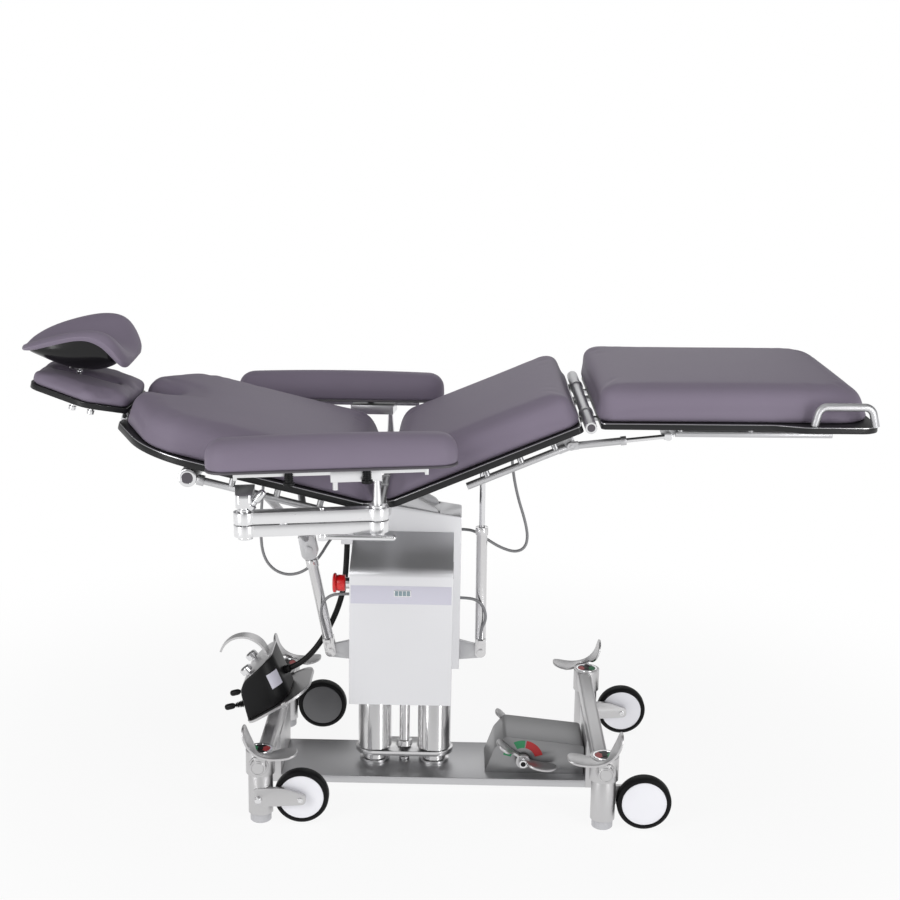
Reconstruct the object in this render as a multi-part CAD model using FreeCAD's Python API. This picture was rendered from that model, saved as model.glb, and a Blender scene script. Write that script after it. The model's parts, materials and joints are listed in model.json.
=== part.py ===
import FreeCAD, Part
import math
import os

os.makedirs("parts", exist_ok=True)
V = FreeCAD.Vector
Y_AXIS = V(0, 1, 0)
ORIGIN = V(0, 0, 0)

# Frame: X runs from the head end (minus) to the foot end (plus), Y from the near to the far side,
# Z up from the floor. All sizes are millimetres.

# General clearances
RUN = 0.05          # radial running fit of a shaft in its bore
AIR = 0.3           # gap between faces that slide past each other

# Base and end frames
PLATE_Z0, PLATE_Z1 = 16, 34
PLATE_HALF = 107
COLUMN_X = {"head": -385, "foot": 394}
TRACK = 275
END_PLATE_T = 20
BAR_SIZE, BAR_WALL = 35, 3
BAR_Z0 = 136
BAR_R = 9
BAR_INSET = 8       # crossbar centre lies this far inside the castor columns
SLEEVE_R, SLEEVE_Z0, SLEEVE_Z1 = 33, 118, 173
SLEEVE_CAP = 7

# Castors
WHEEL_R, WHEEL_HALF = 62.5, 16
DISC_R = 52
TRAIL = 93
SWIVEL_R, SWIVEL_STEM_R = 28, 20
SWIVEL_Z0 = 22
FORK_T, FORK_GAP = 10, 4
AXLE_R = 6

# Brakes
SHAFT_R, SHAFT_Z = 8, 148
FOOT_R, FOOT_ROD_R, FOOT_LIFT = 24, 6, 9
CAM_NOSE_R, CAM_REACH, CAM_T, CAM_GAP = 2, 17, 20, 2.2
CAM_AIR = 1         # between the cam's sweep and the swivel stem
PEDAL_T = 7
PEDAL_HUB_R, PEDAL_HUB_T = 18, 20
LOBE_W = 66

# Lift
LIFT_X, LIFT_PITCH = -68, 144
INNER_R, OUTER_R = 28.5, 40
RAM_ROD_R, RAM_R = 6.5, 12.4
LIFT_Z0, LIFT_TOP = 60, 480
INNER_TOP = 470
OVAL_T = 12

# Housing and cover
HOUSE_X0, HOUSE_X1 = -196, 61
HOUSE_Y0, HOUSE_Y1 = -46, 64
HOUSE_Z0, HOUSE_Z1, HOUSE_FALL = 286, 702, 40
HOUSE_WALL = 3
COVER_X0, COVER_X1 = -191, 44
COVER_DEPTH = 144
COVER_Z0, COVER_Z1, COVER_RISE = 250, 573, 52
COVER_WALL = 2
COVER_EDGE_R = 24
STOP_Y, STOP_Z = -118, 519

# Table sections: common hinge of back and seat, hinge of the leg section
HINGE_X, HINGE_Z, HINGE_R = -118, 721, 12
SEAT_RISE, BACK_RISE, LEG_RISE = 23.3, 13.2, 0.6
BOARD_T = 16
SEAT_N, BACK_N = 14, 12          # underside of each board above its hinge line
HALF_W = 300                     # half width of the boards, which the fittings below follow
HINGE_HALF = HALF_W - 14
PAD_T = 74
SEAT_S0, SEAT_S1 = 26, 482
LEG_HINGE_S, LEG_HINGE_N = 499, 20
LEG_TUBE_R = 13
LEG_S0, LEG_S1 = 22, 614
LEG_N, LEG_BOARD_T = -6, 14
LEG_FLARE = HALF_W + 25
LEG_FLARE_S0, LEG_FLARE_S1 = 392, 455
BACK_S0, BACK_S1 = 24, 622
VALLEY_RUN = 56     # the pads slope off over this length towards the common hinge
VALLEY_CORNER_R = 30
BACK_SHOULDER_S, BACK_END_HALF = 525, 125
SHOULDER_R, BACK_END_R = 170, 30
NOTCH_S, NOTCH_HALF = 528, 46
RAIL_R = 8
RAIL_Y = HALF_W - 50
BACK_RAIL_Y, BACK_RAIL_N = HALF_W - 20, -14
CROSS_TUBE_S, CROSS_TUBE_R = 426, 20

# Spacers between each section's rails and its board, along the section from its hinge
SEAT_SPACERS = (250, 330, 410)
LEG_SPACERS = (197, 350, 500)
BACK_SPACERS = (134, 230, 330)

# Head section, parallel to the back
HEAD_S0, HEAD_S1, HEAD_HINGE_S = 612, 844, 616
HEAD_N, HEAD_T, HEAD_PAD_T = 46, 12, 24
HEAD_HALF, HEAD_NECK_HALF, HEAD_TIP_HALF, HEAD_WIDE_S = 150, 108, 90, 700
HEAD_SLOT_S0, HEAD_SLOT_S1, HEAD_SLOT_HALF = 655, 815, 14
STEM_S = 755

# Headrest: its tip and the levels of its rims are measured from the common hinge
REST_TIP = HINGE_X - 828.4
REST_HALF = 122

# Cylinders: lower and upper pins as (x, z), barrel, rod and eye radii
BACK_PINS = ((-248, 311), (-300, 566))
SEAT_PINS = ((112, 316), (108, 795))
BARREL_R, PISTON_R, EYE_R, EYE_HALF = 13, 7, 14, 8
PIN_R = 6
LEG_PIN_SEAT, LEG_PIN_LEG = (295, 883), (505, 909)
LEG_BARREL_R, LEG_PISTON_R, LEG_EYE_R, LEG_EYE_HALF = 8, 5, 9, 7

# Armrests, near side; the far side is its mirror image
ARM_YAW, ARM_TILT = 6.1, 1.5
ARM_X, ARM_Z = HINGE_X - 286, HINGE_Z + 28    # top of the clamp arm at its first post
ARM_OUT = {"near": HALF_W + 52, "far": HALF_W + 48}      # the first post's distance from the middle
ARM_REACH = 284
ARM_T, ARM_GAP = 25, 3
ARM_BOSS_R, ARM_HALF_W = 24, 16
ARM_POST_R = 11
PAD_OFFSET = 45
REST_RAIL_T = 8
REST_PAD_L, REST_PAD_W, REST_PAD_H = 535, 92, 72
REST_SLIDE = {"near": 0, "far": -38}     # where each pad stands along its slide block

# Foot pedal housing
PEDAL_X0, PEDAL_X1, PEDAL_HALF = 128, 365, 70
PEDAL_AXLE = (219, 68)

# Foot control
CONTROL_TILT = 31
CONTROL_X, CONTROL_Z = -438, 152
CONTROL_HALF = 100

# Lines
CABLE_R, HOSE_R = 7, 3.5


def box(x0, x1, y0, y1, z0, z1):
    return Part.makeBox(x1 - x0, y1 - y0, z1 - z0, V(x0, y0, z0))


def rod(a, b, r):
    return Part.makeCylinder(r, (b - a).Length, a, b - a)


def cross(x, z, r, y0, y1):
    """A round bar across the table."""
    return Part.makeCylinder(r, y1 - y0, V(x, y0, z), Y_AXIS)


def post(x, y, r, z0, z1):
    return Part.makeCylinder(r, z1 - z0, V(x, y, z0))


def fuse(*shapes):
    return shapes[0].fuse(list(shapes[1:])).removeSplitter()


def rounded_wire(points, radii, lift):
    """A closed outline of straight runs joined by tangent arcs; lift turns (u, v) into space."""
    edges, last, count = [], None, len(points)
    first = None
    for i, (u, v) in enumerate(points):
        here = V(u, v, 0)
        before = V(*points[i - 1], 0)
        after = V(*points[(i + 1) % count], 0)
        a, b = (before - here).normalize(), (after - here).normalize()
        r = radii[i] if isinstance(radii, (list, tuple)) else radii
        if r <= 0:
            start = end = here
            arc = None
        else:
            half = math.acos(max(-1, min(1, a.dot(b)))) / 2
            start, end = here + a * (r / math.tan(half)), here + b * (r / math.tan(half))
            middle = here + (a + b).normalize() * (r / math.sin(half) - r)
            arc = (start, middle, end)
        if last is not None and (start - last).Length > 1e-6:
            edges.append(Part.LineSegment(lift(last), lift(start)).toShape())
        if arc:
            edges.append(Part.Arc(*[lift(p) for p in arc]).toShape())
        first = start if first is None else first
        last = end
    if (first - last).Length > 1e-6:
        edges.append(Part.LineSegment(lift(last), lift(first)).toShape())
    return Part.Wire(Part.__sortEdges__(edges))


def slab_xy(points, radii, z0, z1):
    wire = rounded_wire(points, radii, lambda p: V(p.x, p.y, z0))
    return Part.Face(wire).extrude(V(0, 0, z1 - z0))


def slab_xz(points, radii, y0, y1):
    wire = rounded_wire(points, radii, lambda p: V(p.x, y0, p.y))
    return Part.Face(wire).extrude(V(0, y1 - y0, 0))


def mirrored(points):
    """A half outline (x, y >= 0) closed by its mirror image."""
    return points + [(x, -y) for x, y in reversed(points)]


def place(shape, x, z, degrees):
    """Turn a section built at its hinge line and set it at that hinge."""
    done = shape.copy()
    done.rotate(ORIGIN, Y_AXIS, degrees)
    done.translate(V(x, 0, z))
    return done


def far_side(shape):
    return shape.mirror(ORIGIN, Y_AXIS)


def pad_section(x, half, z0, z1, crown):
    """One cross-section of a cushion: flat base, drawn-in sides and a crowned top."""
    height = z1 - z0
    middle, tuck, shoulder = z0 + 0.42 * height, 0.135 * height, 0.32 * height
    base_l, base_r = V(x, -half + tuck, z0), V(x, half - tuck, z0)
    top_l, top_r = V(x, -half + shoulder, z1), V(x, half - shoulder, z1)
    return Part.Wire([
        Part.LineSegment(base_l, base_r).toShape(),
        Part.Arc(base_r, V(x, half, middle), top_r).toShape(),
        Part.Arc(top_r, V(x, 0, z1 + crown), top_l).toShape(),
        Part.Arc(top_l, V(x, -half, middle), base_l).toShape()])


def cushion(stations, z0, height, crown):
    """Loft through (x, half width, share of the height) stations."""
    rings = [pad_section(x, half, z0, z0 + share * height, crown * share) for x, half, share in stations]
    return Part.makeLoft(rings, True, True)


def seat_point(s, n):
    """A point of the seat's side view, as (x, z)."""
    a = math.radians(SEAT_RISE)
    return HINGE_X + s * math.cos(a) - n * math.sin(a), HINGE_Z + s * math.sin(a) + n * math.cos(a)


def back_point(s, n):
    a = math.radians(BACK_RISE)
    return HINGE_X - s * math.cos(a) + n * math.sin(a), HINGE_Z + s * math.sin(a) + n * math.cos(a)


def to_seat(shape):
    return place(shape, HINGE_X, HINGE_Z, -SEAT_RISE)


def to_back(shape):
    return place(shape, HINGE_X, HINGE_Z, BACK_RISE)


def to_leg(shape):
    x, z = seat_point(LEG_HINGE_S, LEG_HINGE_N)
    return place(shape, x, z, -LEG_RISE)


def into_leg(x, z):
    """A side-view point in the leg section's own frame."""
    hx, hz = seat_point(LEG_HINGE_S, LEG_HINGE_N)
    a = math.radians(LEG_RISE)
    dx, dz = x - hx, z - hz
    return dx * math.cos(a) + dz * math.sin(a), dz * math.cos(a) - dx * math.sin(a)


def into_seat(x, z):
    a = math.radians(SEAT_RISE)
    dx, dz = x - HINGE_X, z - HINGE_Z
    return dx * math.cos(a) + dz * math.sin(a), dz * math.cos(a) - dx * math.sin(a)


# Base plate and end frames
def inward(end):
    return 1 if end == "head" else -1


def bar_x(end):
    return COLUMN_X[end] + inward(end) * BAR_INSET


def end_plate_x(end):
    """Inner and outer face of an end plate, under the inner part of the crossbar."""
    inner = bar_x(end) + inward(end) * (BAR_SIZE / 2 + 1)
    return inner, inner - inward(end) * END_PLATE_T


def base_plate():
    x0, x1 = end_plate_x("head")[0], end_plate_x("foot")[0]
    return box(x0, x1, -PLATE_HALF, PLATE_HALF, PLATE_Z0, PLATE_Z1)


def square_tube(x, z0, size, wall, reach):
    """A hollow square tube across the table, with its lower face at z0."""
    def outline(inset):
        x0, x1 = x - size / 2 + inset, x + size / 2 - inset
        return [(x0, z0 + inset), (x1, z0 + inset), (x1, z0 + size - inset), (x0, z0 + size - inset)]
    hollow = slab_xz(outline(wall), BAR_R - wall, -reach, reach)
    return slab_xz(outline(0), BAR_R, -reach, reach).cut(hollow)


def end_frame(end):
    """The welded pieces of one end: upright plate, crossbar coped to the sleeves, and two sleeves."""
    x = COLUMN_X[end]
    x0, x1 = sorted(end_plate_x(end))
    plate = box(x0, x1, -PLATE_HALF, PLATE_HALF, PLATE_Z0, BAR_Z0)
    reach = TRACK + SLEEVE_R + 1
    shaft_bore = cross(x, SHAFT_Z, SHAFT_R + RUN, -reach, reach)
    bar = square_tube(bar_x(end), BAR_Z0, BAR_SIZE, BAR_WALL, TRACK).cut(shaft_bore)
    sleeves = []
    for side in (-1, 1):
        sleeve = post(x, side * TRACK, SLEEVE_R, SLEEVE_Z0, SLEEVE_Z1)
        bar = bar.cut(sleeve)
        bore = post(x, side * TRACK, SWIVEL_STEM_R + RUN, SLEEVE_Z0, SLEEVE_Z1 - SLEEVE_CAP)
        sleeves.append(sleeve.cut(bore).cut(shaft_bore))
    return [plate, bar] + sleeves


# Castors
FORK_SIDE = {"head_near": -1, "head_far": 1, "foot_near": 1, "foot_far": -1}
STEM_TOP = SHAFT_Z - CAM_REACH - CAM_NOSE_R - CAM_AIR


def castor_place(name):
    end, side = name.split("_")
    return COLUMN_X[end], (-TRACK if side == "near" else TRACK)


def wheel_z():
    return WHEEL_R


def castor_swivel(name):
    x, y = castor_place(name)
    side = FORK_SIDE[name]
    tube = post(x, y, SWIVEL_R, SWIVEL_Z0, SLEEVE_Z0 - AIR)
    tube = tube.fuse(post(x, y, SWIVEL_STEM_R, SLEEVE_Z0 - AIR, STEM_TOP))
    y0 = y + side * (WHEEL_HALF + FORK_GAP)
    faces = sorted((y0, y0 + side * FORK_T))
    arm = slab_xz([(x - 15, wheel_z() - 18), (x + 40, wheel_z() - 16), (x + TRAIL + 12, wheel_z() - 11),
                   (x + TRAIL + 12, wheel_z() + 11), (x + TRAIL - 38, wheel_z() + 28),
                   (x - 15, wheel_z() + 26)],
                  [11, 30, 10.5, 10.5, 60, 13], *faces)
    bolt_y = sorted((faces[0] if side < 0 else faces[1], (faces[0] if side < 0 else faces[1]) + side * 5))
    bolt = cross(x - 2, wheel_z(), 8, *bolt_y)
    stub = cross(x + TRAIL, wheel_z(), AXLE_R, *sorted((y0, y - side * (WHEEL_HALF + 2))))
    swivel = fuse(tube, arm, bolt, stub)
    swivel = swivel.cut(post(x, y, FOOT_ROD_R + RUN, SWIVEL_Z0, STEM_TOP))
    return swivel.cut(post(x, y, FOOT_R + AIR, SWIVEL_Z0 - 1, SWIVEL_Z0 + FOOT_LIFT + 1))


def castor_wheel(name):
    x, y = castor_place(name)
    w = WHEEL_HALF
    half = [(AXLE_R + RUN, w - 2), (DISC_R, w - 2), (DISC_R + 2, w), (WHEEL_R - 6, w), (WHEEL_R, w - 7)]
    profile = [(r, -t) for r, t in half] + half[::-1]
    wire = Part.makePolygon([V(r, t, 0) for r, t in profile + profile[:1]])
    wheel = Part.Face(wire).revolve(ORIGIN, Y_AXIS, 360)
    wheel.translate(V(x + TRAIL, y, wheel_z()))
    return wheel


# Brakes: one shaft per end with a rocker pedal outside each castor and a cam over each foot rod
ROCKER_TIP, ROCKER_LOW = 76, 88
ROCKER = [(-36, ROCKER_TIP), (-23, 28), (40, 2), (ROCKER_LOW, 12), (ROCKER_LOW - 2, 12 + PEDAL_T),
          (40, 2 + PEDAL_T), (-16, 28 + PEDAL_T / 2), (-36 + PEDAL_T, ROCKER_TIP + 1)]
ROCKER_R = [0, 42, 60, 3, 3, 60 - PEDAL_T, 42 - PEDAL_T, 0]
LOBE_R, LOBE_L = 22, 34


def lobe_plan(a, b, y0, y1):
    """Corners and radii of a lobe between y0 and y1, square at a and round at b."""
    return [(a, y0), (b, y0), (b, y1), (a, y1)], [8, LOBE_R, LOBE_R, 8]


def slab_yz(points, radii, x0, x1):
    wire = rounded_wire([(y, z) for z, y in points], radii, lambda p: V(x0, p.x, p.y))
    return Part.Face(wire).extrude(V(x1 - x0, 0, 0))


def rocker(x, z, lean, y_out, y_in):
    """A two-lobe rocker pedal: hub, curved band over the hub, and wide round lobes at both ends.
    lean is +1 where the low lobe points to +X; the lobes reach from y_out to y_in."""
    points = [(x + lean * u, z + v) for u, v in ROCKER]
    y_hub = y_out + math.copysign(PEDAL_HUB_T, y_in - y_out)
    hub_y, lobe_y = sorted((y_out, y_hub)), sorted((y_out, y_in))
    band = slab_xz(points, ROCKER_R, *hub_y)
    wide = slab_xz(points, ROCKER_R, *lobe_y)
    tip = z + ROCKER_TIP + 1
    high = slab_yz(*lobe_plan(tip - LOBE_L, tip, *lobe_y), x - 80, x + 80)
    end = x + lean * ROCKER_LOW
    low = slab_xy(*lobe_plan(end - lean * LOBE_L, end, *lobe_y), z - 10, z + 30)
    hub = cross(x, z, PEDAL_HUB_R, *hub_y)
    neck = slab_xz([(x + lean * u, z + v) for u, v in ((-14, 0), (16, 0), (14, 16), (-8, 34))], 0, *hub_y)
    return fuse(band, hub, neck, wide.common(high), wide.common(low))


def brake_pedals(end):
    x, lean = COLUMN_X[end], inward(end)
    face = TRACK + SLEEVE_R + 3
    shaft = cross(x, SHAFT_Z, SHAFT_R, -face, face)
    parts = [shaft]
    for side in (-1, 1):
        y_out = side * (face + PEDAL_HUB_T)
        parts.append(rocker(x, SHAFT_Z, lean, y_out, y_out - side * LOBE_W))
        y0 = side * TRACK - CAM_T / 2
        nose = cross(x, SHAFT_Z - CAM_REACH, CAM_NOSE_R, y0, y0 + CAM_T)
        web = box(x - CAM_NOSE_R, x + CAM_NOSE_R, y0, y0 + CAM_T, SHAFT_Z - CAM_REACH, SHAFT_Z)
        parts.append(nose.fuse(web))
    return fuse(*parts)


def floor_feet(end):
    x, top = COLUMN_X[end], SHAFT_Z - CAM_REACH - CAM_NOSE_R - CAM_GAP
    feet = []
    for side in (-1, 1):
        pad = post(x, side * TRACK, FOOT_R, 0, SWIVEL_Z0 - AIR)
        pad = pad.makeChamfer(3, [pad.Edges[i] for i in range(len(pad.Edges))
                                  if abs(pad.Edges[i].BoundBox.ZMax) < 1e-6])
        feet.append(fuse(pad, post(x, side * TRACK, FOOT_ROD_R, 0, top)))
    return Part.Compound(feet)


# Lift
def lift_xs():
    return LIFT_X - LIFT_PITCH / 2, LIFT_X + LIFT_PITCH / 2


def lift_columns():
    bodies = []
    for x, r, flange in ((lift_xs()[0], INNER_R, 8), (lift_xs()[1], INNER_R, 8), (LIFT_X, RAM_ROD_R, 6)):
        foot = post(x, 0, r + flange, PLATE_Z1, PLATE_Z1 + 8)
        bodies.append(fuse(post(x, 0, r, PLATE_Z1, INNER_TOP), foot))
    return Part.Compound(bodies)


def oval(r, z0, z1):
    a, b = lift_xs()
    return fuse(box(a, b, -r, r, z0, z1), post(a, 0, r, z0, z1), post(b, 0, r, z0, z1))


def lift_outer_tubes():
    z1 = LIFT_Z0 + OVAL_T
    parts = [oval(OUTER_R + 6, LIFT_Z0, z1), post(LIFT_X, 0, RAM_R, z1, LIFT_TOP),
             post(LIFT_X, 0, RAM_R + 6, z1, z1 + 14)]
    parts += [post(x, 0, OUTER_R, z1, LIFT_TOP) for x in lift_xs()]
    body = fuse(*parts)
    for x, r in ((lift_xs()[0], INNER_R), (lift_xs()[1], INNER_R), (LIFT_X, RAM_ROD_R)):
        body = body.cut(post(x, 0, r + RUN, LIFT_Z0 - 1, LIFT_TOP + 1))
    return body


# Carriage
EARS_Y = ((-40, -26), (44, 58))
EAR_TOP = HINGE_Z + HINGE_R + 1
EAR_POINTS = [(-165, LIFT_TOP), (8, LIFT_TOP), (8, 676), (-97, EAR_TOP), (-141, EAR_TOP)]
EAR_RADII = [0, 0, 26, 16, 16]
HEAD_BLOCK_T = 40


def ears(grow):
    shapes = []
    for y0, y1 in EARS_Y:
        ear = slab_xz(EAR_POINTS, EAR_RADII, y0 - grow, y1 + grow)
        if grow:
            ear = ear.fuse(box(EAR_POINTS[0][0] - grow, EAR_POINTS[1][0] + grow, y0 - grow, y1 + grow,
                               LIFT_TOP, HOUSE_Z1 + 60))
        shapes.append(ear)
    return shapes


def bracket(pin, wall_x):
    """Gusset plate from the housing wall to a cylinder's lower pin."""
    x, z = pin
    lean = 1 if x > wall_x else -1
    plate = slab_xz([(wall_x, z - 20), (x + lean * 12, z - 14), (x + lean * 12, z + 12), (wall_x, z + 28)],
                    [0, 10, 10, 0], -PIN_R, PIN_R)
    return plate.cut(cross(x, z, PIN_R, -20, 20))


def carriage_frame():
    block = box(HOUSE_X0 + HOUSE_WALL, HOUSE_X1 - HOUSE_WALL, HOUSE_Y0 + HOUSE_WALL, HOUSE_Y1 - HOUSE_WALL,
                LIFT_TOP, LIFT_TOP + HEAD_BLOCK_T)
    frame = fuse(block, *ears(0), cross(HINGE_X, HINGE_Z, HINGE_R, -HINGE_HALF, HINGE_HALF))
    return Part.Compound([frame, bracket(BACK_PINS[0], HOUSE_X0), bracket(SEAT_PINS[0], HOUSE_X1)])


def rear_housing():
    right_top = HOUSE_Z1 - HOUSE_FALL
    w = HOUSE_WALL
    outer = slab_xz([(HOUSE_X0, HOUSE_Z0), (HOUSE_X1, HOUSE_Z0), (HOUSE_X1, right_top), (HOUSE_X0, HOUSE_Z1)],
                    [0, 0, 4, 12], HOUSE_Y0, HOUSE_Y1)
    hollow = [(HOUSE_X0 + w, HOUSE_Z0 - 1), (HOUSE_X1 - w, HOUSE_Z0 - 1),
              (HOUSE_X1 - w, right_top - w), (HOUSE_X0 + w, HOUSE_Z1 - w)]
    inner = slab_xz(hollow, [0, 0, 2, 10], HOUSE_Y0 + w, HOUSE_Y1 - w)
    shell = outer.cut(inner)
    for ear in ears(1):
        shell = shell.cut(ear)
    socket = box(CABLE_END_X - 14, HOUSE_X0, SOCKET_Y - 14, SOCKET_Y + 14, SOCKET_Z, SOCKET_Z + 30)
    return shell.fuse(socket).removeSplitter()


def front_cover():
    back, w = HOUSE_Y0 - AIR, COVER_WALL
    front = back - COVER_DEPTH
    slope = COVER_RISE / COVER_DEPTH

    def block(x0, x1, inset, y_back):
        top = COVER_Z1 - inset * 1.1
        pts = [(front + inset, COVER_Z0 - (1 if inset else 0)), (y_back, COVER_Z0 - (1 if inset else 0)),
               (y_back, top + slope * (y_back - front)), (front + inset, top + slope * inset)]
        wire = rounded_wire(pts, [0, 0, 0, COVER_EDGE_R - inset], lambda p: V(x0, p.x, p.y))
        return Part.Face(wire).extrude(V(x1 - x0, 0, 0))
    shell = block(COVER_X0, COVER_X1, 0, back).cut(block(COVER_X0 + w, COVER_X1 - w, w, back + 1))
    return shell.cut(stop_disc(-w - 1, 1, STOP_STEM_R + RUN))


TANK_Z0, TANK_Z1, TANK_DEPTH = 330, 420, 100
VALVE_Z0, VALVE_Z1, VALVE_DEPTH, VALVE_W = 340, 400, 60, 46
MOTOR_R, MOTOR_L, MOTOR_INSET = 38, 120, 75


def hydraulic_unit():
    y1, valve_x = HOUSE_Y0, COVER_X1 - VALVE_W - 14
    tank = box(COVER_X0 + 30, valve_x, y1 - TANK_DEPTH, y1, TANK_Z0, TANK_Z1)
    valve = box(valve_x, valve_x + VALVE_W, y1 - VALVE_DEPTH, y1, VALVE_Z0, VALVE_Z1)
    foot = V(COVER_X0 + MOTOR_INSET, y1 - TANK_DEPTH / 2, TANK_Z1)
    motor = rod(foot, foot + V(0, 0, MOTOR_L), MOTOR_R)
    return fuse(tank, valve, motor)


STOP_STEM_R, STOP_DEPTH = 13, 12


def stop_disc(d0, d1, r):
    """A disc on the stop button's axis, between two distances outside the cover's left wall."""
    return rod(V(COVER_X0 - d0, STOP_Y, STOP_Z), V(COVER_X0 - d1, STOP_Y, STOP_Z), r)


def emergency_stop():
    return fuse(stop_disc(-STOP_DEPTH, 14, STOP_STEM_R), stop_disc(14, 34, 19), stop_disc(34, 44, 23))


# Cylinders, built upright at the lower pin and then leaned into place
PORT_Y, PORT_H = 19, 34


def lean(shape, pins):
    (x0, z0), (x1, z1) = pins
    done = shape.copy()
    done.rotate(ORIGIN, Y_AXIS, math.degrees(math.atan2(x1 - x0, z1 - z0)))
    done.translate(V(x0, 0, z0))
    return done


def pin_span(pins):
    (x0, z0), (x1, z1) = pins
    return math.hypot(x1 - x0, z1 - z0)


def barrel(pins, top):
    fork = []
    cheek = PIN_R + AIR
    for y0, y1 in ((-BARREL_R, -cheek), (cheek, BARREL_R)):
        fork.append(box(-BARREL_R, BARREL_R, y0, y1, 0, 24).fuse(cross(0, 0, BARREL_R, y0, y1)))
    body = fuse(*fork, box(-BARREL_R, BARREL_R, -BARREL_R, BARREL_R, 24, 34), post(0, 0, BARREL_R, 34, top),
                post(0, 0, BARREL_R + 2, top - 18, top), cross(0, 0, PIN_R - RUN, -BARREL_R, BARREL_R),
                cross(0, 0, 9, BARREL_R, BARREL_R + 3), cross(0, 0, 9, -BARREL_R - 3, -BARREL_R),
                box(-6, 6, -PORT_Y - 5, -BARREL_R + 3, PORT_H - 10, PORT_H))
    return lean(body.cut(post(0, 0, PISTON_R + RUN, 44, top + 1)), pins)


def piston(pins, low):
    span = pin_span(pins)
    return lean(fuse(post(0, 0, PISTON_R, low, span), cross(0, span, EYE_R, -EYE_HALF, EYE_HALF)), pins)


YOKE_DROP = 25
BACK_BARREL_TOP = pin_span(BACK_PINS) - YOKE_DROP - 3
SEAT_BARREL_TOP = 310
BACK_ROD_LOW, SEAT_ROD_LOW, LEG_ROD_LOW = 60, 140, 76
LEG_BARREL_TOP, LEG_NECK = 120, 16


def leg_parts():
    """Barrel and rod of one leg cylinder on the near side."""
    pins = (LEG_PIN_SEAT, LEG_PIN_LEG)
    span = pin_span(pins)
    h = LEG_EYE_HALF
    top = LEG_BARREL_TOP
    neck = box(-LEG_BARREL_R, LEG_BARREL_R, -h, h, 0, LEG_NECK)
    tube = fuse(cross(0, 0, LEG_EYE_R, -h, h), neck, post(0, 0, LEG_BARREL_R, LEG_NECK, top),
                post(0, 0, LEG_BARREL_R + 2, top - 12, top))
    tube = tube.cut(post(0, 0, LEG_PISTON_R + RUN, LEG_NECK + 4, top + 1))
    tube = tube.cut(cross(0, 0, LEG_PISTON_R, -h - 1, h + 1))
    shaft = fuse(post(0, 0, LEG_PISTON_R, LEG_ROD_LOW, span), cross(0, span, LEG_EYE_R, -h, h))
    placed = []
    for shape in (tube, shaft):
        done = lean(shape, pins)
        done.translate(V(0, -RAIL_Y, 0))
        placed.append(done)
    return placed


def both(shape):
    return Part.Compound([shape, far_side(shape)])


# Seat section
def seat_board():
    radii = [VALLEY_CORNER_R, 12]
    outline = mirrored([(SEAT_S0, HALF_W), (SEAT_S1, HALF_W)])
    return slab_xy(outline, radii + radii[::-1], SEAT_N, SEAT_N + BOARD_T)


def seat_plate():
    return to_seat(seat_board())


def valley_stations(s0, s1, half, sign):
    """Stations of a pad that slopes off towards the common hinge, so that the sections can fold."""
    run = VALLEY_RUN
    rows = [(s0, half - 8, 0.1), (s0 + 0.45 * run, half - 2, 0.62), (s0 + run, half, 0.94),
            (s0 + run + 60, half - 2, 1.0), ((s0 + s1) / 2 + 40, half - 5, 1.0), (s1 - 60, half - 1, 1.0),
            (s1 - 16, half - 2, 0.95), (s1, half - 12, 0.66)]
    return [(sign * s, h, share) for s, h, share in rows]


def seat_pad():
    rows = valley_stations(SEAT_S0 + 2, SEAT_S1, HALF_W - 8, 1)
    return to_seat(cushion(rows, SEAT_N + BOARD_T, PAD_T, 5))


SPACER_R = 7
STRAP_Y, STRAP_T = HALF_W - 60, 12      # the back's hinge straps; the seat's lie just inside them


def side_rail(s0, s1, y, n, under, spacers, sign):
    """Round rail below a board, carried by spacers."""
    rail = rod(V(sign * s0, y, n), V(sign * s1, y, n), RAIL_R)
    posts = [post(sign * s, y, SPACER_R, n, under) for s in spacers]
    return fuse(rail, *posts)


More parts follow.
